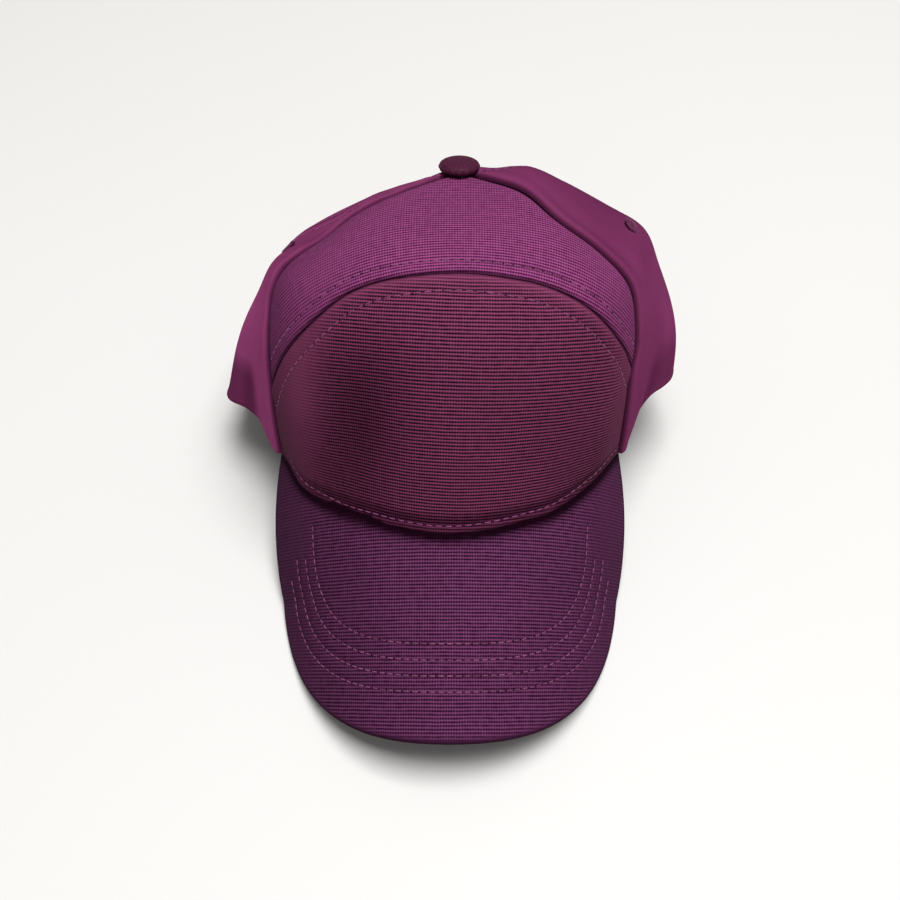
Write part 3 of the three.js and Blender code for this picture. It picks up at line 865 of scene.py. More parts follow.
def ribbed_cloth(name, crest, trough, edge, rib_share, smooth_light, rib_height):
    """Cloth with fine ribs across it, crossed by upright threads."""
    finish = Finish(name)
    place, across, up = finish.pattern()
    rib = finish.waves(finish.plus(up, finish.wander(place, 90.0)), RIB_PITCH)
    thread = finish.waves(finish.plus(across, finish.wander(place, 300.0, 2.0)), THREAD_PITCH)
    uneven = finish.ramp(finish.noise(place, 420.0, 2.0), 0.3, 0.66)
    smoothed = finish.mark("smooth_cloth")
    rib_left = finish.math("SUBTRACT", 1.0, smoothed)
    crossing = finish.times(thread, finish.times_plus(uneven, 0.7, 0.3))
    woven = finish.plus(finish.times(rib, rib_share), finish.times(crossing, 1 - rib_share))
    light = finish.times(finish.ramp(woven, 0.12, 0.78), rib_left)
    light = finish.times_plus(smoothed, smooth_light, light)
    patchy = finish.ramp(finish.noise(place, 38.0, 4.0), 0.3, 0.7)
    base = finish.blend(light, trough, crest)
    paler = finish.node("HueSaturation", {"Color": base, "Saturation": 1.0, "Value": PATCH_VALUE})
    base = finish.blend(patchy, base, paler.outputs["Color"])
    finish.surface({
        "Base Color": finish.painted_light_and_shade(base, edge),
        "Roughness": finish.ramp(woven, 4.25, -0.75),
        "Sheen Weight": 0.08,
        "Sheen Roughness": 0.5,
        "Sheen Tint": crest,
        "Specular IOR Level": 0.02,
    })
    finish.bump(finish.times(finish.times(woven, rib_left), rib_height), 1.0)
    return finish.material


def smooth_cloth(name, light, dark, edge):
    """Close woven cloth with a soft lustre, its threads hardly showing."""
    finish = Finish(name)
    place, across, up = finish.pattern()
    diagonal = finish.plus(across, finish.times(up, 1.4))
    astray = finish.times(finish.noise(place, 500.0), 0.3 * MM)
    twill = finish.waves(finish.plus(diagonal, astray), TWILL_PITCH)
    grain = finish.noise(place, 1400.0, 2.0)
    weave = finish.times_plus(grain, 0.5, finish.times(twill, 0.5))
    patchy = finish.ramp(finish.noise(finish.place(), 26.0, 4.0), 0.3, 0.72)
    base = finish.blend(finish.times_plus(weave, 0.55, finish.times(patchy, 0.4)), dark, light)
    finish.surface({
        "Base Color": finish.painted_light_and_shade(base, edge),
        "Roughness": finish.ramp(weave, 3.0, -1.3),
        "Sheen Weight": 0.3,
        "Sheen Roughness": 0.5,
        "Sheen Tint": light,
        "Specular IOR Level": 0.0,
    })
    finish.bump(weave, 0.05)
    return finish.material


def thread_finish(name, light, dark):
    """Twisted sewing thread."""
    finish = Finish(name)
    place = finish.place()
    twist = finish.noise(place, 2600.0, 2.0)
    slow = finish.noise(place, 180.0, 2.0)
    finish.surface({
        "Base Color": finish.blend(finish.ramp(slow, 0.3, 0.7), dark, light),
        "Roughness": finish.ramp(twist, -0.3, 2.0),
        "Sheen Weight": 0.03,
        "Specular IOR Level": 0.12,
    })
    finish.bump(twist, 0.06)
    return finish.material


def trim_cloth(name, light, dark):
    """Felted or tightly woven trim, darker in its hollows."""
    finish = Finish(name)
    place = finish.place()
    grain = finish.noise(place, 1500.0, 3.0)
    slow = finish.noise(place, 120.0, 3.0)
    finish.surface({
        "Base Color": finish.blend(finish.ramp(grain, 0.25, 0.75), dark, light),
        "Roughness": finish.ramp(slow, -0.9, 1.4),
        "Sheen Weight": 0.04,
        "Sheen Tint": light,
        "Specular IOR Level": 0.1,
    })
    finish.bump(grain, 0.12)
    return finish.material


# Colour of the painted shade in the seams' grooves
GROOVE_SHADE = colour(22, 2, 15)
upper_cloth = ribbed_cloth(
    "ribbed_upper_cloth", colour(160, 78, 132), colour(64, 14, 54), GROOVE_SHADE,
    rib_share=0.58, smooth_light=0.66, rib_height=0.18,
)
lower_cloth = ribbed_cloth(
    "ribbed_lower_cloth", colour(142, 68, 106), colour(28, 3, 18), GROOVE_SHADE,
    rib_share=0.66, smooth_light=0.8, rib_height=0.3,
)
peak_cloth = ribbed_cloth(
    "ribbed_peak_cloth", colour(118, 62, 104), colour(34, 4, 30), GROOVE_SHADE,
    rib_share=0.58, smooth_light=0.4, rib_height=0.24,
)
side_cloth = smooth_cloth("smooth_side_cloth", colour(162, 76, 126), colour(126, 50, 97), GROOVE_SHADE)
stitch_thread = thread_finish("pale_sewing_thread", colour(146, 80, 124), colour(110, 50, 90))
# Dark colour of the painted shadow in the needle holes
hole_shadow_finish = thread_finish("needle_hole_shadow", colour(48, 10, 38), colour(32, 4, 24))
dark_trim = trim_cloth("maroon_trim_cloth", colour(88, 34, 62), colour(58, 16, 38))
eyelet_thread = thread_finish("eyelet_thread", colour(112, 48, 88), colour(82, 30, 62))
lining_cloth = trim_cloth("dark_band_cloth", colour(86, 36, 68), colour(56, 18, 42))

# Stitches

STITCH_PITCH = 3.4
FINE_STITCH_PITCH = 3.0
STITCH_WIDTH = 0.5
STITCH_RISE = 0.4
STITCH_LIFT = 0.1
STITCH_END_DROP = 0.24
STITCH_END_SWELL = 0.6
NEEDLE_HOLE_DEPTH = 0.14
# Shares of the pitch, the last the stretch that a stitch's direction is read over
STITCH_LENGTH = 0.74
NEEDLE_HOLE_LENGTH = 0.3
STITCH_SIGHT = 0.3
# A share of the stitch's width
NEEDLE_HOLE_WIDTH = 1.25


def model_stitch(pitch):
    """One bar of thread lying along x, its ends pulled down into the cloth, and a dark bead of painted shadow
    at its needle hole.
    """
    deselect_all()
    bpy.ops.mesh.primitive_uv_sphere_add(segments=8, ring_count=6, radius=0.5)
    bar = named("stitch_bar")
    width, rise, length = np.moveaxis(read_points(bar), -1, 0)
    end = np.abs(length * 2)
    sideways = width * STITCH_WIDTH * (1 + STITCH_END_SWELL * end**2)
    upwards = rise * STITCH_RISE + (STITCH_LIFT - STITCH_END_DROP * end**4)
    move_points(bar, np.stack([length * (pitch * STITCH_LENGTH), sideways, upwards], axis=-1))
    # A flat dark bead past the bar's end is painted shadow in the needle hole
    deselect_all()
    bpy.ops.mesh.primitive_uv_sphere_add(segments=7, ring_count=4, radius=0.5)
    hole = named("stitch_hole_shadow")
    size = (pitch * NEEDLE_HOLE_LENGTH, STITCH_WIDTH * NEEDLE_HOLE_WIDTH, NEEDLE_HOLE_DEPTH)
    move_points(hole, read_points(hole) * np.array(size) + np.array([pitch / 2, 0, 0]))
    for piece in (bar, hole):
        piece.data.materials.append(stitch_thread)
        piece.data.materials.append(hole_shadow_finish)
    for polygon in hole.data.polygons:
        polygon.material_index = 1
    deselect_all()
    hole.select_set(True)
    bar.select_set(True)
    bpy.context.view_layer.objects.active = bar
    bpy.ops.object.join()
    bpy.ops.object.shade_smooth()
    return bar


def stitch_line(name, line, normals, pitch=STITCH_PITCH, lift=0.0):
    """Copies of one stitch along a line on the cloth, joined into one piece."""
    along = lengths_along(line)
    count = int(along[-1] / pitch)
    reach = pitch * STITCH_SIGHT
    stitch = model_stitch(pitch)
    copies = []
    for i in range(count):
        middle = (i + 0.5) * along[-1] / count
        point = read_line(middle, along, line)
        ahead = unit(read_line(middle + reach, along, line) - read_line(middle - reach, along, line))
        up = unit(read_line(middle, along, normals))
        side = unit(np.cross(up, ahead))
        up = np.cross(ahead, side)
        place = Matrix.Identity(4)
        for k, axis in enumerate((ahead, side, up, point + up * lift)):
            for j in range(3):
                place[j][k] = axis[j]
        copy = stitch.copy()
        copy.data = stitch.data.copy()
        copy.data.transform(place)
        bpy.context.collection.objects.link(copy)
        copies.append(copy)
    bpy.data.objects.remove(stitch)
    deselect_all()
    for copy in copies:
        copy.select_set(True)
    bpy.context.view_layer.objects.active = copies[0]
    bpy.ops.object.join()
    row = named(name)
    put_in_frame(row)
    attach(row, "root")


# Panels of the crown

UNDER_SIDE = Edge(tuck=1.5, tuck_reach=2.8, shade=1.0)
OVER_FRONT = Edge(roll=0.9, roll_at=2.6, tuck=1.6, tuck_reach=1.4, shade=0.8)
PLAIN_SEAM = Edge(roll=0.3, roll_at=2.2, tuck=0.8, tuck_reach=1.5, rows=(5.0,), shade=0.6)
ARCH_ABOVE = Edge(roll=0.1, roll_at=3.0, tuck=0.7, tuck_reach=1.5, rows=(5.0,), shade=0.8)
ARCH_BELOW = Edge(roll=0.3, roll_at=2.0, tuck=0.7, tuck_reach=1.2, rows=(6.2,), shade=0.5, smooth=0.7)
PEAK_SEAM = Edge(roll=0.5, roll_at=1.6, tuck=0.9, tuck_reach=1.2, rows=(3.6,), shade=1.0, smooth=0.25)
RIM_HEM = Edge(roll=0.2, roll_at=1.5, tuck=0.4, tuck_reach=1.0, shade=0.3)
OPENING_HEM = Edge(roll=0.35, roll_at=1.6, tuck=0.6, tuck_reach=1.0, rows=(4.0,), shade=0.3)

# How far from a panel's edge its shade and its flattened ribs reach
SHADE_REACH = 0.9
SMOOTH_REACH = 2.6

# Where the ribs of the front are worn smooth towards its sides, in degrees of turn, how far they
# are worn there, and what of that the upper panel has
RIB_FADE_START = 40
RIB_FADE_END = 54
RIB_FADE_LEFTWARD = 9
RIB_FADE = 0.85
RIB_FADE_ABOVE = 0.3

# Below this share of the crown a hollow gets painted shade and a raised fold painted light, by its height,
# between limits
HOLLOW_SHADE = 0.14
HOLLOW_SHADE_LIMITS = (-0.2, 0.5)
LOW_SHARE = 0.48
LOW_SHARE_STEP = 0.2

# Painted shade on the strip of the front below its lowest stitches
RIM_SHADE = 0.6
RIM_SHADE_SHARE = 0.034
RIM_SHADE_STEP = 0.014

# Painted shade low on the sides' flanks, and painted light on the left side beside the front
FLANK_SHADES = {"side_panel_left": 0.9, "side_panel_right": 0.4}
FLANK_TURN = 66
FLANK_TURN_STEP = 7
FLANK_SHARE = 0.19
FLANK_SHARE_STEP = 0.1
FRONT_PAINTED_LIGHT = 0.35


def dress_panel(name, places, edges, material, light_way):
    """Models one panel's outer face and marks where it is worn and where painted light and painted shade
    fall.
    """
    turn, share = places
    points, _ = crown(turn, share)
    cloth = Cloth(points, edges)
    cloth.points = press_on_floor(cloth.points)
    piece = cloth_grid(name + "_cloth", cloth.points)
    flat = lay_out_pattern(piece, turn.shape)
    mark_points(piece, "seam_shade", cloth.mask("shade", SHADE_REACH))
    away = away_from_front(turn) + np.where(turn < 0, RIB_FADE_LEFTWARD, 0)
    worn = RIB_FADE * smoothstep((away - RIB_FADE_START) / (RIB_FADE_END - RIB_FADE_START))
    worn = worn * (RIB_FADE_ABOVE if name == "front_upper_panel" else 1)
    mark_points(piece, "smooth_cloth", np.maximum(cloth.mask("smooth", SMOOTH_REACH), worn))
    # Painted shade in hollows low on the crown, and painted light on raised folds there
    low = smoothstep((LOW_SHARE - share) / LOW_SHARE_STEP)
    hollow = low * np.clip(-HOLLOW_SHADE * fold_height(turn, share), *HOLLOW_SHADE_LIMITS)
    # Painted shade on the front's strip below its lowest stitches
    if name == "front_lower_panel":
        hollow = hollow + RIM_SHADE * smoothstep((RIM_SHADE_SHARE - share) / RIM_SHADE_STEP)
    # Painted shade low on the side flanks; on the left side the lustre term is painted light beside the front
    if name in FLANK_SHADES:
        flank = smoothstep((FLANK_SHARE - share) / FLANK_SHARE_STEP)
        flank = flank * smoothstep((away_from_front(turn) - FLANK_TURN) / FLANK_TURN_STEP)
        lustre = low * FRONT_PAINTED_LIGHT if name == "side_panel_left" else 0
        hollow = hollow + FLANK_SHADES[name] * flank - lustre * (1 - flank)
    mark_painted_light(piece, light_way, hollow)
    area = face_area(piece)
    piece.data.materials.append(material)
    return cloth, piece, flat, area


def open_eyelet(piece, turn):
    """Cuts the hole that the eyelet is worked round."""
    point, _ = crown(np.array(float(turn)), np.array(EYELET_SHARE))
    middle = Vector(to_frame(point))
    only(piece)
    bpy.ops.object.mode_set(mode="EDIT")
    bpy.ops.mesh.select_mode(type="FACE")
    bpy.ops.mesh.select_all(action="DESELECT")
    bpy.ops.object.mode_set(mode="OBJECT")
    reach = (EYELET_HOLE_DIAMETER / 2 + EYELET_CLEARANCE) * MM
    for polygon in piece.data.polygons:
        polygon.select = (Vector(polygon.center) - middle).length < reach
    bpy.ops.object.mode_set(mode="EDIT")
    bpy.ops.mesh.delete(type="FACE")
    bpy.ops.mesh.select_mode(type="VERT")
    bpy.ops.object.mode_set(mode="OBJECT")


sewn = {}


def sew_panel(name, places, edges, material, light_way, eyelet_at=None):
    cloth, piece, flat, area = dress_panel(name, places, edges, material, light_way)
    if eyelet_at is not None:
        open_eyelet(piece, eyelet_at)
    finish_sheet(piece, CLOTH)
    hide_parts(name)
    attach(piece, "root")
    sewn[name] = cloth


front_ends = (-FRONT_SEAM_TURN, FRONT_SEAM_TURN)
lower_places = panel_places(front_ends, rim_share, arch_share, crowded(230), crowded(84))
lower_edges = {"start": UNDER_SIDE, "end": UNDER_SIDE, "bottom": PEAK_SEAM, "top": ARCH_BELOW}
sew_panel("front_lower_panel", lower_places, lower_edges, lower_cloth, LIGHT_ON_FRONT)
upper_places = panel_places(front_ends, arch_share, top_share, crowded(230), crowded(110))
upper_edges = {"start": UNDER_SIDE, "end": UNDER_SIDE, "bottom": ARCH_ABOVE}
sew_panel("front_upper_panel", upper_places, upper_edges, upper_cloth, LIGHT_ON_FRONT)


def eyelet_turn(side, near, far):
    return side * (near + far) / 2 - (LEFT_EYELET_BACK if side < 0 else 0)


HANDS = ((-1, "left"), (1, "right"))
GORES = (("side", FRONT_SEAM_TURN, SIDE_SEAM_TURN), ("back", SIDE_SEAM_TURN, BACK_SEAM_TURN))
for side, hand in HANDS:
    for kind, near, far in GORES:
        ends = sorted((side * near, side * far))
        front_edge, rear_edge = ("end", "start") if side < 0 else ("start", "end")
        edges = {
            front_edge: OVER_FRONT if kind == "side" else PLAIN_SEAM,
            rear_edge: PLAIN_SEAM,
            "bottom": RIM_HEM,
        }
        places = panel_places(ends, rim_share, top_share, crowded(100), crowded(160))
        # Which way the painted light falls on this panel
        light_way = LIGHT_ON_BACK
        if kind == "side":
            light_way = LIGHT_ON_LEFT if side < 0 else LIGHT_ON_RIGHT
        eyelet_at = eyelet_turn(side, near, far)
        sew_panel(f"{kind}_panel_{hand}", places, edges, side_cloth, light_way, eyelet_at)

rear_ends = (BACK_SEAM_TURN, 360 - BACK_SEAM_TURN)
opening_start = (180 - opening_half_turn - rear_ends[0]) / (rear_ends[1] - rear_ends[0])
rear_places = panel_places(
    rear_ends, opening_share, top_share, opening_steps(130, opening_start), crowded(130)
)
rear_edges = {"start": PLAIN_SEAM, "end": PLAIN_SEAM, "bottom": OPENING_HEM}
sew_panel("back_panel_centre", rear_places, rear_edges, side_cloth, LIGHT_ON_BACK)

# Rows of stitches on the crown

for name, cloth in sewn.items():
    for side, edge in cloth.edges.items():
        for distance in edge.rows:
            line, normals = cloth.row_line(side, distance)
            stitch_line(f"stitches_{name}_{side}", line, normals)

# Tapes sewn inside over the seams

TAPE_WIDTH = 11.4
TAPE_THICKNESS = 0.5
TAPE_STEPS = 8
ARCH_TAPE_SET_IN = 0.7
SEAM_TAPE_SET_IN = 1.3
TAPE_TOP_SHARE = 0.93
# How far a tape's foot lies above the sweatband, how many degrees short of the side seams the
# arch tape ends, and how much wider it is drawn where the seam slants
TAPE_CLEARANCE = 2
ARCH_TAPE_SHORT = 1.5
ARCH_TAPE_SPREAD = 1.5
tape_across = np.linspace(-TAPE_WIDTH / 2, TAPE_WIDTH / 2, TAPE_STEPS + 1)


def sew_tape(name, turn, share, set_in):
    """A straight strip laid inside along a seam, its length down the columns."""
    points, outward = crown(turn, share)
    points = points - (CLOTH + set_in) * outward
    piece = cloth_grid(name, points)
    lay_out_pattern(piece, turn.shape)
    piece.data.materials.append(lining_cloth)
    finish_sheet(piece, TAPE_THICKNESS)
    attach(piece, "root")


def tape_rows(start, end, count):
    return np.linspace(start, end, count)[:, None] * np.ones(TAPE_STEPS + 1)


def seam_tape_places(seam_turn):
    foot_rise = SWEATBAND_SET_UP + SWEATBAND_WIDTH + TAPE_CLEARANCE
    foot = float(share_at_rise(np.array([float(seam_turn)]), foot_rise)[0])
    share = tape_rows(foot, TAPE_TOP_SHARE, 121)
    turn = bowed(np.full(share.shape, float(seam_turn)), share)
    reach = reach_from_axis(smooth_crown(turn, share))
    return turn + np.degrees(tape_across / np.maximum(reach, TAPE_WIDTH)), share


arch_turn = tape_rows(ARCH_TAPE_SHORT - FRONT_SEAM_TURN, FRONT_SEAM_TURN - ARCH_TAPE_SHORT, 181)
arch_tape_share = arch_share(arch_turn) - ARCH_TAPE_SPREAD * tape_across / PROFILE_LENGTH
sew_tape("arch_seam_tape", bowed(arch_turn, arch_tape_share), arch_tape_share, ARCH_TAPE_SET_IN)
for side, hand in HANDS:
    for place, seam_turn in (("front", FRONT_SEAM_TURN), ("side", SIDE_SEAM_TURN), ("back", BACK_SEAM_TURN)):
        turn, share = seam_tape_places(side * seam_turn)
        sew_tape(f"{place}_seam_tape_{hand}", turn, share, SEAM_TAPE_SET_IN)

# The peak: one closed skin round its stiffener, with a round outer edge and four rows of stitches

# Each row's distance forward in the middle, its distance out at the sides and where it ends there
PEAK_ROWS = ((38, 57.5, -6), (43.5, 63, 5), (48.8, 69, 5), (54.2, 75, 12))
ROW_SQUARENESS = 2.7
PEAK_COLUMNS = 260
FACE_STEPS = 90
ROUND_STEPS = 8
PEAK_STITCH_LIFT = -0.12

# How dark the outer edge and the seam with the crown are, and how far that reaches
PEAK_EDGE_SHADE = 0.7
PEAK_EDGE_SHADE_REACH = 1.6
PEAK_SEAM_SHADE = 1.6
PEAK_SEAM_SHADE_REACH = 3.0
# Where the ribs are worn smooth: towards the sides, in millimetres of arc, and at the edge
PEAK_WORN_START = 46
PEAK_WORN_END = 70
PEAK_WORN = 0.6
PEAK_EDGE_WORN_REACH = 2.0
# Points of the skin closer than this become one
MERGE_REACH = 0.005
# Rows of the front lower panel that the seam's shade is measured from
SEAM_ROWS = slice(0, 20, 4)


def peak_row(middle, side, end):
    """One row of stitches as places on the peak's cloth, from its left end to its right."""
    angle = np.linspace(0, math.pi / 2, 121)
    arc = side * np.sin(angle) ** (2 / ROW_SQUARENESS)
    forward = middle * np.maximum(np.cos(angle), 0) ** (2 / ROW_SQUARENESS)
    if end < 0:
        arc = np.append(arc, side)
        forward = np.append(forward, end)
    kept = forward >= end
    arc, forward = arc[kept], forward[kept]
    return np.concatenate([-arc[:0:-1], arc]), np.concatenate([forward[:0:-1], forward])


def peak_skin():
    """The skin as closed sections: under face, round edge, upper face and the wall at its rear."""
    share = np.linspace(-1, 1, PEAK_COLUMNS + 1)
    rear = np.stack(peak_grid(share, np.zeros_like(share)), axis=-1)
    edge = np.stack(peak_grid(share, np.ones_like(share)), axis=-1)
    width = np.linalg.norm(edge - rear, axis=-1)
    radius = np.minimum(PEAK_THICKNESS / 2, width / 3)
    flat_out = 1 - radius / width
    crowd = np.sin(np.linspace(0, math.pi / 2, FACE_STEPS + 1))
    rows = [(flat_out * t, np.full_like(share, PEAK_THICKNESS)) for t in crowd]
    for angle in np.linspace(math.pi, 0, ROUND_STEPS + 1)[1:-1]:
        rows.append((flat_out + (1 - flat_out) * math.sin(angle), PEAK_THICKNESS * (1 - math.cos(angle)) / 2))
    rows += [(flat_out * t, np.zeros_like(share)) for t in crowd[::-1]]
    rows.append((np.zeros_like(share), np.full_like(share, PEAK_THICKNESS / 2)))
    rows.append(rows[0])
    out = np.array([np.broadcast_to(row[0], share.shape) for row in rows])
    depth = np.array([np.broadcast_to(row[1], share.shape) for row in rows])
    arc, forward = peak_grid(np.broadcast_to(share, out.shape), out)
    return arc, forward, depth


def close_skin(piece):
    """Joins the sections to one another, closes both ends and turns the faces outwards."""
    only(piece)
    bpy.ops.object.mode_set(mode="EDIT")
    bpy.ops.mesh.select_all(action="SELECT")
    bpy.ops.mesh.remove_doubles(threshold=MERGE_REACH * MM)
    bpy.ops.mesh.select_all(action="DESELECT")
    bpy.ops.mesh.select_non_manifold()
    bpy.ops.mesh.fill_holes(sides=0)
    bpy.ops.mesh.select_all(action="SELECT")
    bpy.ops.mesh.normals_make_consistent(inside=False)
    bpy.ops.object.mode_set(mode="OBJECT")
    bpy.ops.object.shade_smooth()


skin_arc, skin_forward, skin_depth = peak_skin()
skin_normal = peak_normal(skin_arc, skin_forward)
skin_points = peak_point(skin_arc, skin_forward) - skin_depth[..., None] * skin_normal
edge_arc, edge_forward = peak_edge(np.linspace(-1, 1, 401))
edge_distance = distance_to(skin_points, peak_point(edge_arc, edge_forward))
sink = np.zeros(skin_arc.shape)
peak_lines = []
for row in PEAK_ROWS:
    row_arc, row_forward = peak_row(*row)
    line = peak_point(row_arc, row_forward)
    peak_lines.append((line, peak_normal(row_arc, row_forward)))
    near = distance_to(skin_points + skin_depth[..., None] * skin_normal, line)
    sink = sink + stitch_sink(near)
inwards = np.where(skin_depth < PEAK_THICKNESS / 2, -1.0, 1.0)
skin_points = skin_points + (inwards * sink)[..., None] * skin_normal

piece = cloth_grid("peak_cloth", skin_points)
flat_places = np.stack([skin_arc, skin_forward], axis=-1).reshape(-1, 2) * MM
piece.data.uv_layers.active.name = "pattern"
write_pattern(piece.data.uv_layers["pattern"], flat_places[corner_points(piece)])
panel_rows = sewn["front_lower_panel"].points[SEAM_ROWS]
seam_distance = np.min([distance_to(skin_points, row) for row in panel_rows], axis=0)
edge_shade = PEAK_EDGE_SHADE * np.exp(-((edge_distance / PEAK_EDGE_SHADE_REACH) ** 2))
seam_shade = np.clip(PEAK_SEAM_SHADE * np.exp(-((seam_distance / PEAK_SEAM_SHADE_REACH) ** 2)), 0, 1)
mark_points(piece, "seam_shade", np.maximum(edge_shade, seam_shade))
worn = smoothstep((np.abs(skin_arc) - PEAK_WORN_START) / (PEAK_WORN_END - PEAK_WORN_START))
edge_worn = np.exp(-((edge_distance / PEAK_EDGE_WORN_REACH) ** 2))
mark_points(piece, "smooth_cloth", np.maximum(PEAK_WORN * worn, edge_worn))
close_skin(piece)
keep_above_floor(piece)
# Painted light on the peak by how it faces the light
mark_painted_light(piece, LIGHT_ON_FRONT)
piece.data.materials.append(peak_cloth)
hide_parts("peak")
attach(piece, "root")

for i, (line, normals) in enumerate(peak_lines):
    stitch_line(f"stitches_peak_{i + 1}", line, normals, FINE_STITCH_PITCH, PEAK_STITCH_LIFT)

# Sweatband and strap

BAND_EDGE = Edge(tuck=0.3, tuck_reach=1.0, rows=(2.4,), shade=0.4)
BAND_ROWS = 24
BAND_SHADE_REACH = 1.0
BAND_END_GAP = 2


def band_points(ends, columns, set_up, width):
    turn = np.linspace(ends[0], ends[1], columns + 1)
    rises = np.linspace(0, 1, BAND_ROWS + 1)
    share = np.array([share_at_rise(turn, set_up + width * rise) for rise in rises])
    points, _ = crown(np.broadcast_to(turn, share.shape), share)
    return press_on_floor(points - (CLOTH + BAND_GAP) * grid_normals(points))


def band(name, node, ends, columns, set_up, width, thickness, material):
    """A strip of cloth inside the rim, stitched along both edges."""
    points = band_points(ends, columns, set_up, width)
    cloth = Cloth(points, {"top": BAND_EDGE, "bottom": BAND_EDGE})
    piece = cloth_grid(name, press_on_floor(cloth.points))
    flat = lay_out_pattern(piece, points.shape[:2])
    mark_points(piece, "seam_shade", cloth.mask("shade", BAND_SHADE_REACH))
    # Painted light on the band by how it faces the light
    mark_painted_light(piece, LIGHT_ON_BACK)
    piece.data.materials.append(material)
    finish_sheet(piece, thickness)
    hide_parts(node)
    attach(piece, "root")
    return cloth


strap_half_turn = opening_half_turn + math.degrees(STRAP_OVERLAP / half_width)
strap_ends = (180 - strap_half_turn, 180 + strap_half_turn)
band_end = 180 - strap_half_turn - math.degrees(BAND_END_GAP / half_width)
band(
    "sweatband_cloth", "sweatband", (-band_end, band_end), 300, SWEATBAND_SET_UP, SWEATBAND_WIDTH,
    SWEATBAND_THICKNESS, lining_cloth,
)
strap = band(
    "back_strap_cloth", "back_strap", strap_ends, 120, 0, STRAP_WIDTH,
    STRAP_THICKNESS, side_cloth,
)
for side in ("top", "bottom"):
    line, normals = strap.row_line(side, BAND_EDGE.rows[0])
    stitch_line(f"stitches_strap_{side}", line, normals, FINE_STITCH_PITCH)

# Eyelets and button


def upright_at(turn, share):
    """A place on the crown whose z points outwards."""
    point, normal = crown(np.array(float(turn)), np.array(float(share)))
    place = Vector(normal).to_track_quat("Z", "Y").to_matrix().to_4x4()
    place.translation = Vector(point)
    return place


EYELET_THREADS = 22
EYELET_THREAD_RELIEF = 0.1
EYELET_THREAD_SWELL = 0.08
EYELET_FLATNESS = 0.62
EYELET_LIFT = 0.35


def model_eyelet(name, turn):
    """A ring worked in thread round a hole."""
    outer = EYELET_DIAMETER / 2
    inner = EYELET_HOLE_DIAMETER / 2
    middle = (outer + inner) / 2
    deselect_all()
    bpy.ops.mesh.primitive_torus_add(
        major_segments=EYELET_THREADS * 4,
        minor_segments=12,
        major_radius=middle,
        minor_radius=(outer - inner) / 2,
    )
    ring = named(name + "_thread")
    x, y, height = np.moveaxis(read_points(ring), -1, 0)
    angle = np.arctan2(y, x)
    wound = 1 + EYELET_THREAD_RELIEF * np.cos(angle * EYELET_THREADS)
    swell = 1 - EYELET_THREAD_SWELL + EYELET_THREAD_SWELL * wound
    reach = middle + (np.hypot(x, y) - middle) * swell
    height = (height * EYELET_FLATNESS) * wound + EYELET_LIFT
    move_points(ring, np.stack([reach * np.cos(angle), reach * np.sin(angle), height], axis=-1))
    ring.data.transform(upright_at(turn, EYELET_SHARE))
    put_in_frame(ring)
    ring.data.materials.append(eyelet_thread)
    only(ring)
    bpy.ops.object.shade_smooth()
    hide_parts(name)
    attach(ring, "root")


for side, hand in HANDS:
    for kind, near, far in GORES:
        model_eyelet(f"eyelet_{kind}_{hand}", eyelet_turn(side, near, far))

BUTTON_DIAMETER = 15
BUTTON_HEIGHT = 4.4
BUTTON_LOW_ANGLE = -30
BUTTON_SQUARENESS = 0.6
BUTTON_PLEATS = 16
# How deep the pleats are, and how many degrees up the side they lie and reach
PLEAT_DEPTH = 0.022
PLEAT_CLIMB = -8
PLEAT_REACH = 26


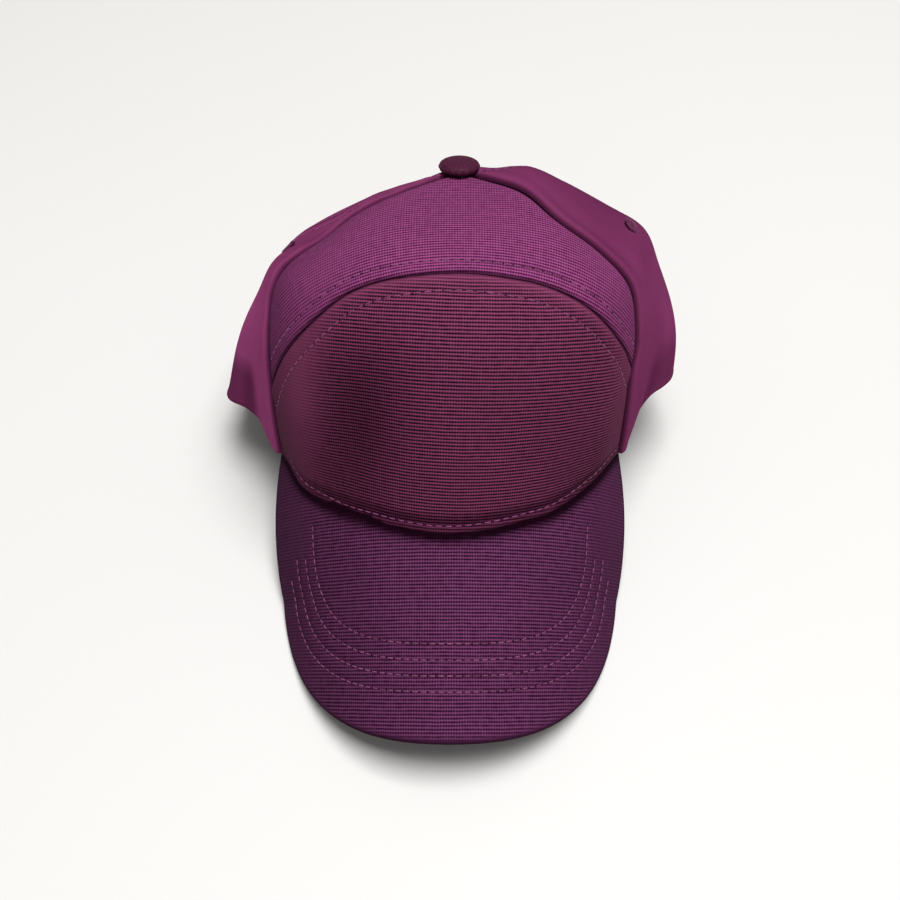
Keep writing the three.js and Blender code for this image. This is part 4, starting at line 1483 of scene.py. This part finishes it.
def model_button():
    """A low round button, its cloth gathered in pleats round its side."""
    deselect_all()
    bpy.ops.mesh.primitive_uv_sphere_add(segments=128, ring_count=64, radius=1)
    button = named("button_cover")
    x, y, z = np.moveaxis(read_points(button), -1, 0)
    around = np.arctan2(y, x)
    climb = np.degrees(np.arcsin(np.clip(z, -1, 1)))
    lowest = math.sin(math.radians(BUTTON_LOW_ANGLE))
    side_climb = np.radians(np.maximum(climb, BUTTON_LOW_ANGLE))
    under = np.clip((climb + 90) / (BUTTON_LOW_ANGLE + 90), 0, 1)
    pleated = np.exp(-(((climb - PLEAT_CLIMB) / PLEAT_REACH) ** 2))
    pleats = 1 + PLEAT_DEPTH * np.cos(around * BUTTON_PLEATS) * pleated
    out = BUTTON_DIAMETER / 2 * np.maximum(np.cos(side_climb), 0) ** BUTTON_SQUARENESS * under * pleats
    up = BUTTON_HEIGHT * (np.sin(side_climb) - lowest + SEAM_GAP) / (1 - lowest + SEAM_GAP)
    up = np.where(climb < BUTTON_LOW_ANGLE, up * under, up)
    move_points(button, np.stack([out * np.cos(around), out * np.sin(around), up], axis=-1))
    button.data.transform(Matrix.Translation((CROWN_LEAN, 0, CROWN_HEIGHT)))
    put_in_frame(button)
    button.data.materials.append(dark_trim)
    only(button)
    bpy.ops.object.shade_smooth()
    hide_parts("button")
    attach(button, "root")


model_button()

# Floor, light and camera

FLOOR_SIZE = 6.0
deselect_all()
bpy.ops.mesh.primitive_plane_add(size=FLOOR_SIZE)
floor = named("studio_floor")
floor_finish = Finish("pale_floor")
grey = floor_finish.noise(floor_finish.place(), 3.0, 2.0)
floor_colour = floor_finish.blend(grey, colour(236, 235, 232), colour(240, 239, 237))
floor_finish.surface({"Base Color": floor_colour, "Roughness": 0.6})
floor.data.materials.append(floor_finish.material)

LIGHT_AIM = (0, 0, 0.05)
WORLD_TINT = (1.0, 0.99, 0.98, 1.0)
WORLD_STRENGTH = 0.19


def soft_light(name, place, size, watts):
    deselect_all()
    bpy.ops.object.light_add(type="AREA", location=place)
    lamp = named(name)
    lamp.data.energy = watts
    lamp.data.size = size
    lamp.rotation_euler = (Vector(LIGHT_AIM) - Vector(place)).to_track_quat("-Z", "Y").to_euler()


soft_light("overhead_softbox", (0.25, -0.1, 2.0), size=1.1, watts=42)
soft_light("front_fill", (-0.3, -1.6, 0.9), size=0.8, watts=1.2)

world = bpy.data.worlds.new("pale_studio")
world.use_nodes = True
background = world.node_tree.nodes["Background"]
background.inputs["Color"].default_value = WORLD_TINT
background.inputs["Strength"].default_value = WORLD_STRENGTH
bpy.context.scene.world = world
bpy.context.scene.view_settings.view_transform = "Standard"

CAMERA_PLACE = (0.00036, -0.2773, 0.3921)
CAMERA_PITCH = 37.32
CAMERA_LENS = 46
CAMERA_SENSOR = 36
NEAREST_SEEN = 0.01
deselect_all()
bpy.ops.object.camera_add(location=CAMERA_PLACE, rotation=(math.radians(CAMERA_PITCH), 0, 0))
camera = named("photo_camera")
camera.data.lens = CAMERA_LENS
camera.data.sensor_width = CAMERA_SENSOR
camera.data.clip_start = NEAREST_SEEN
bpy.context.scene.camera = camera
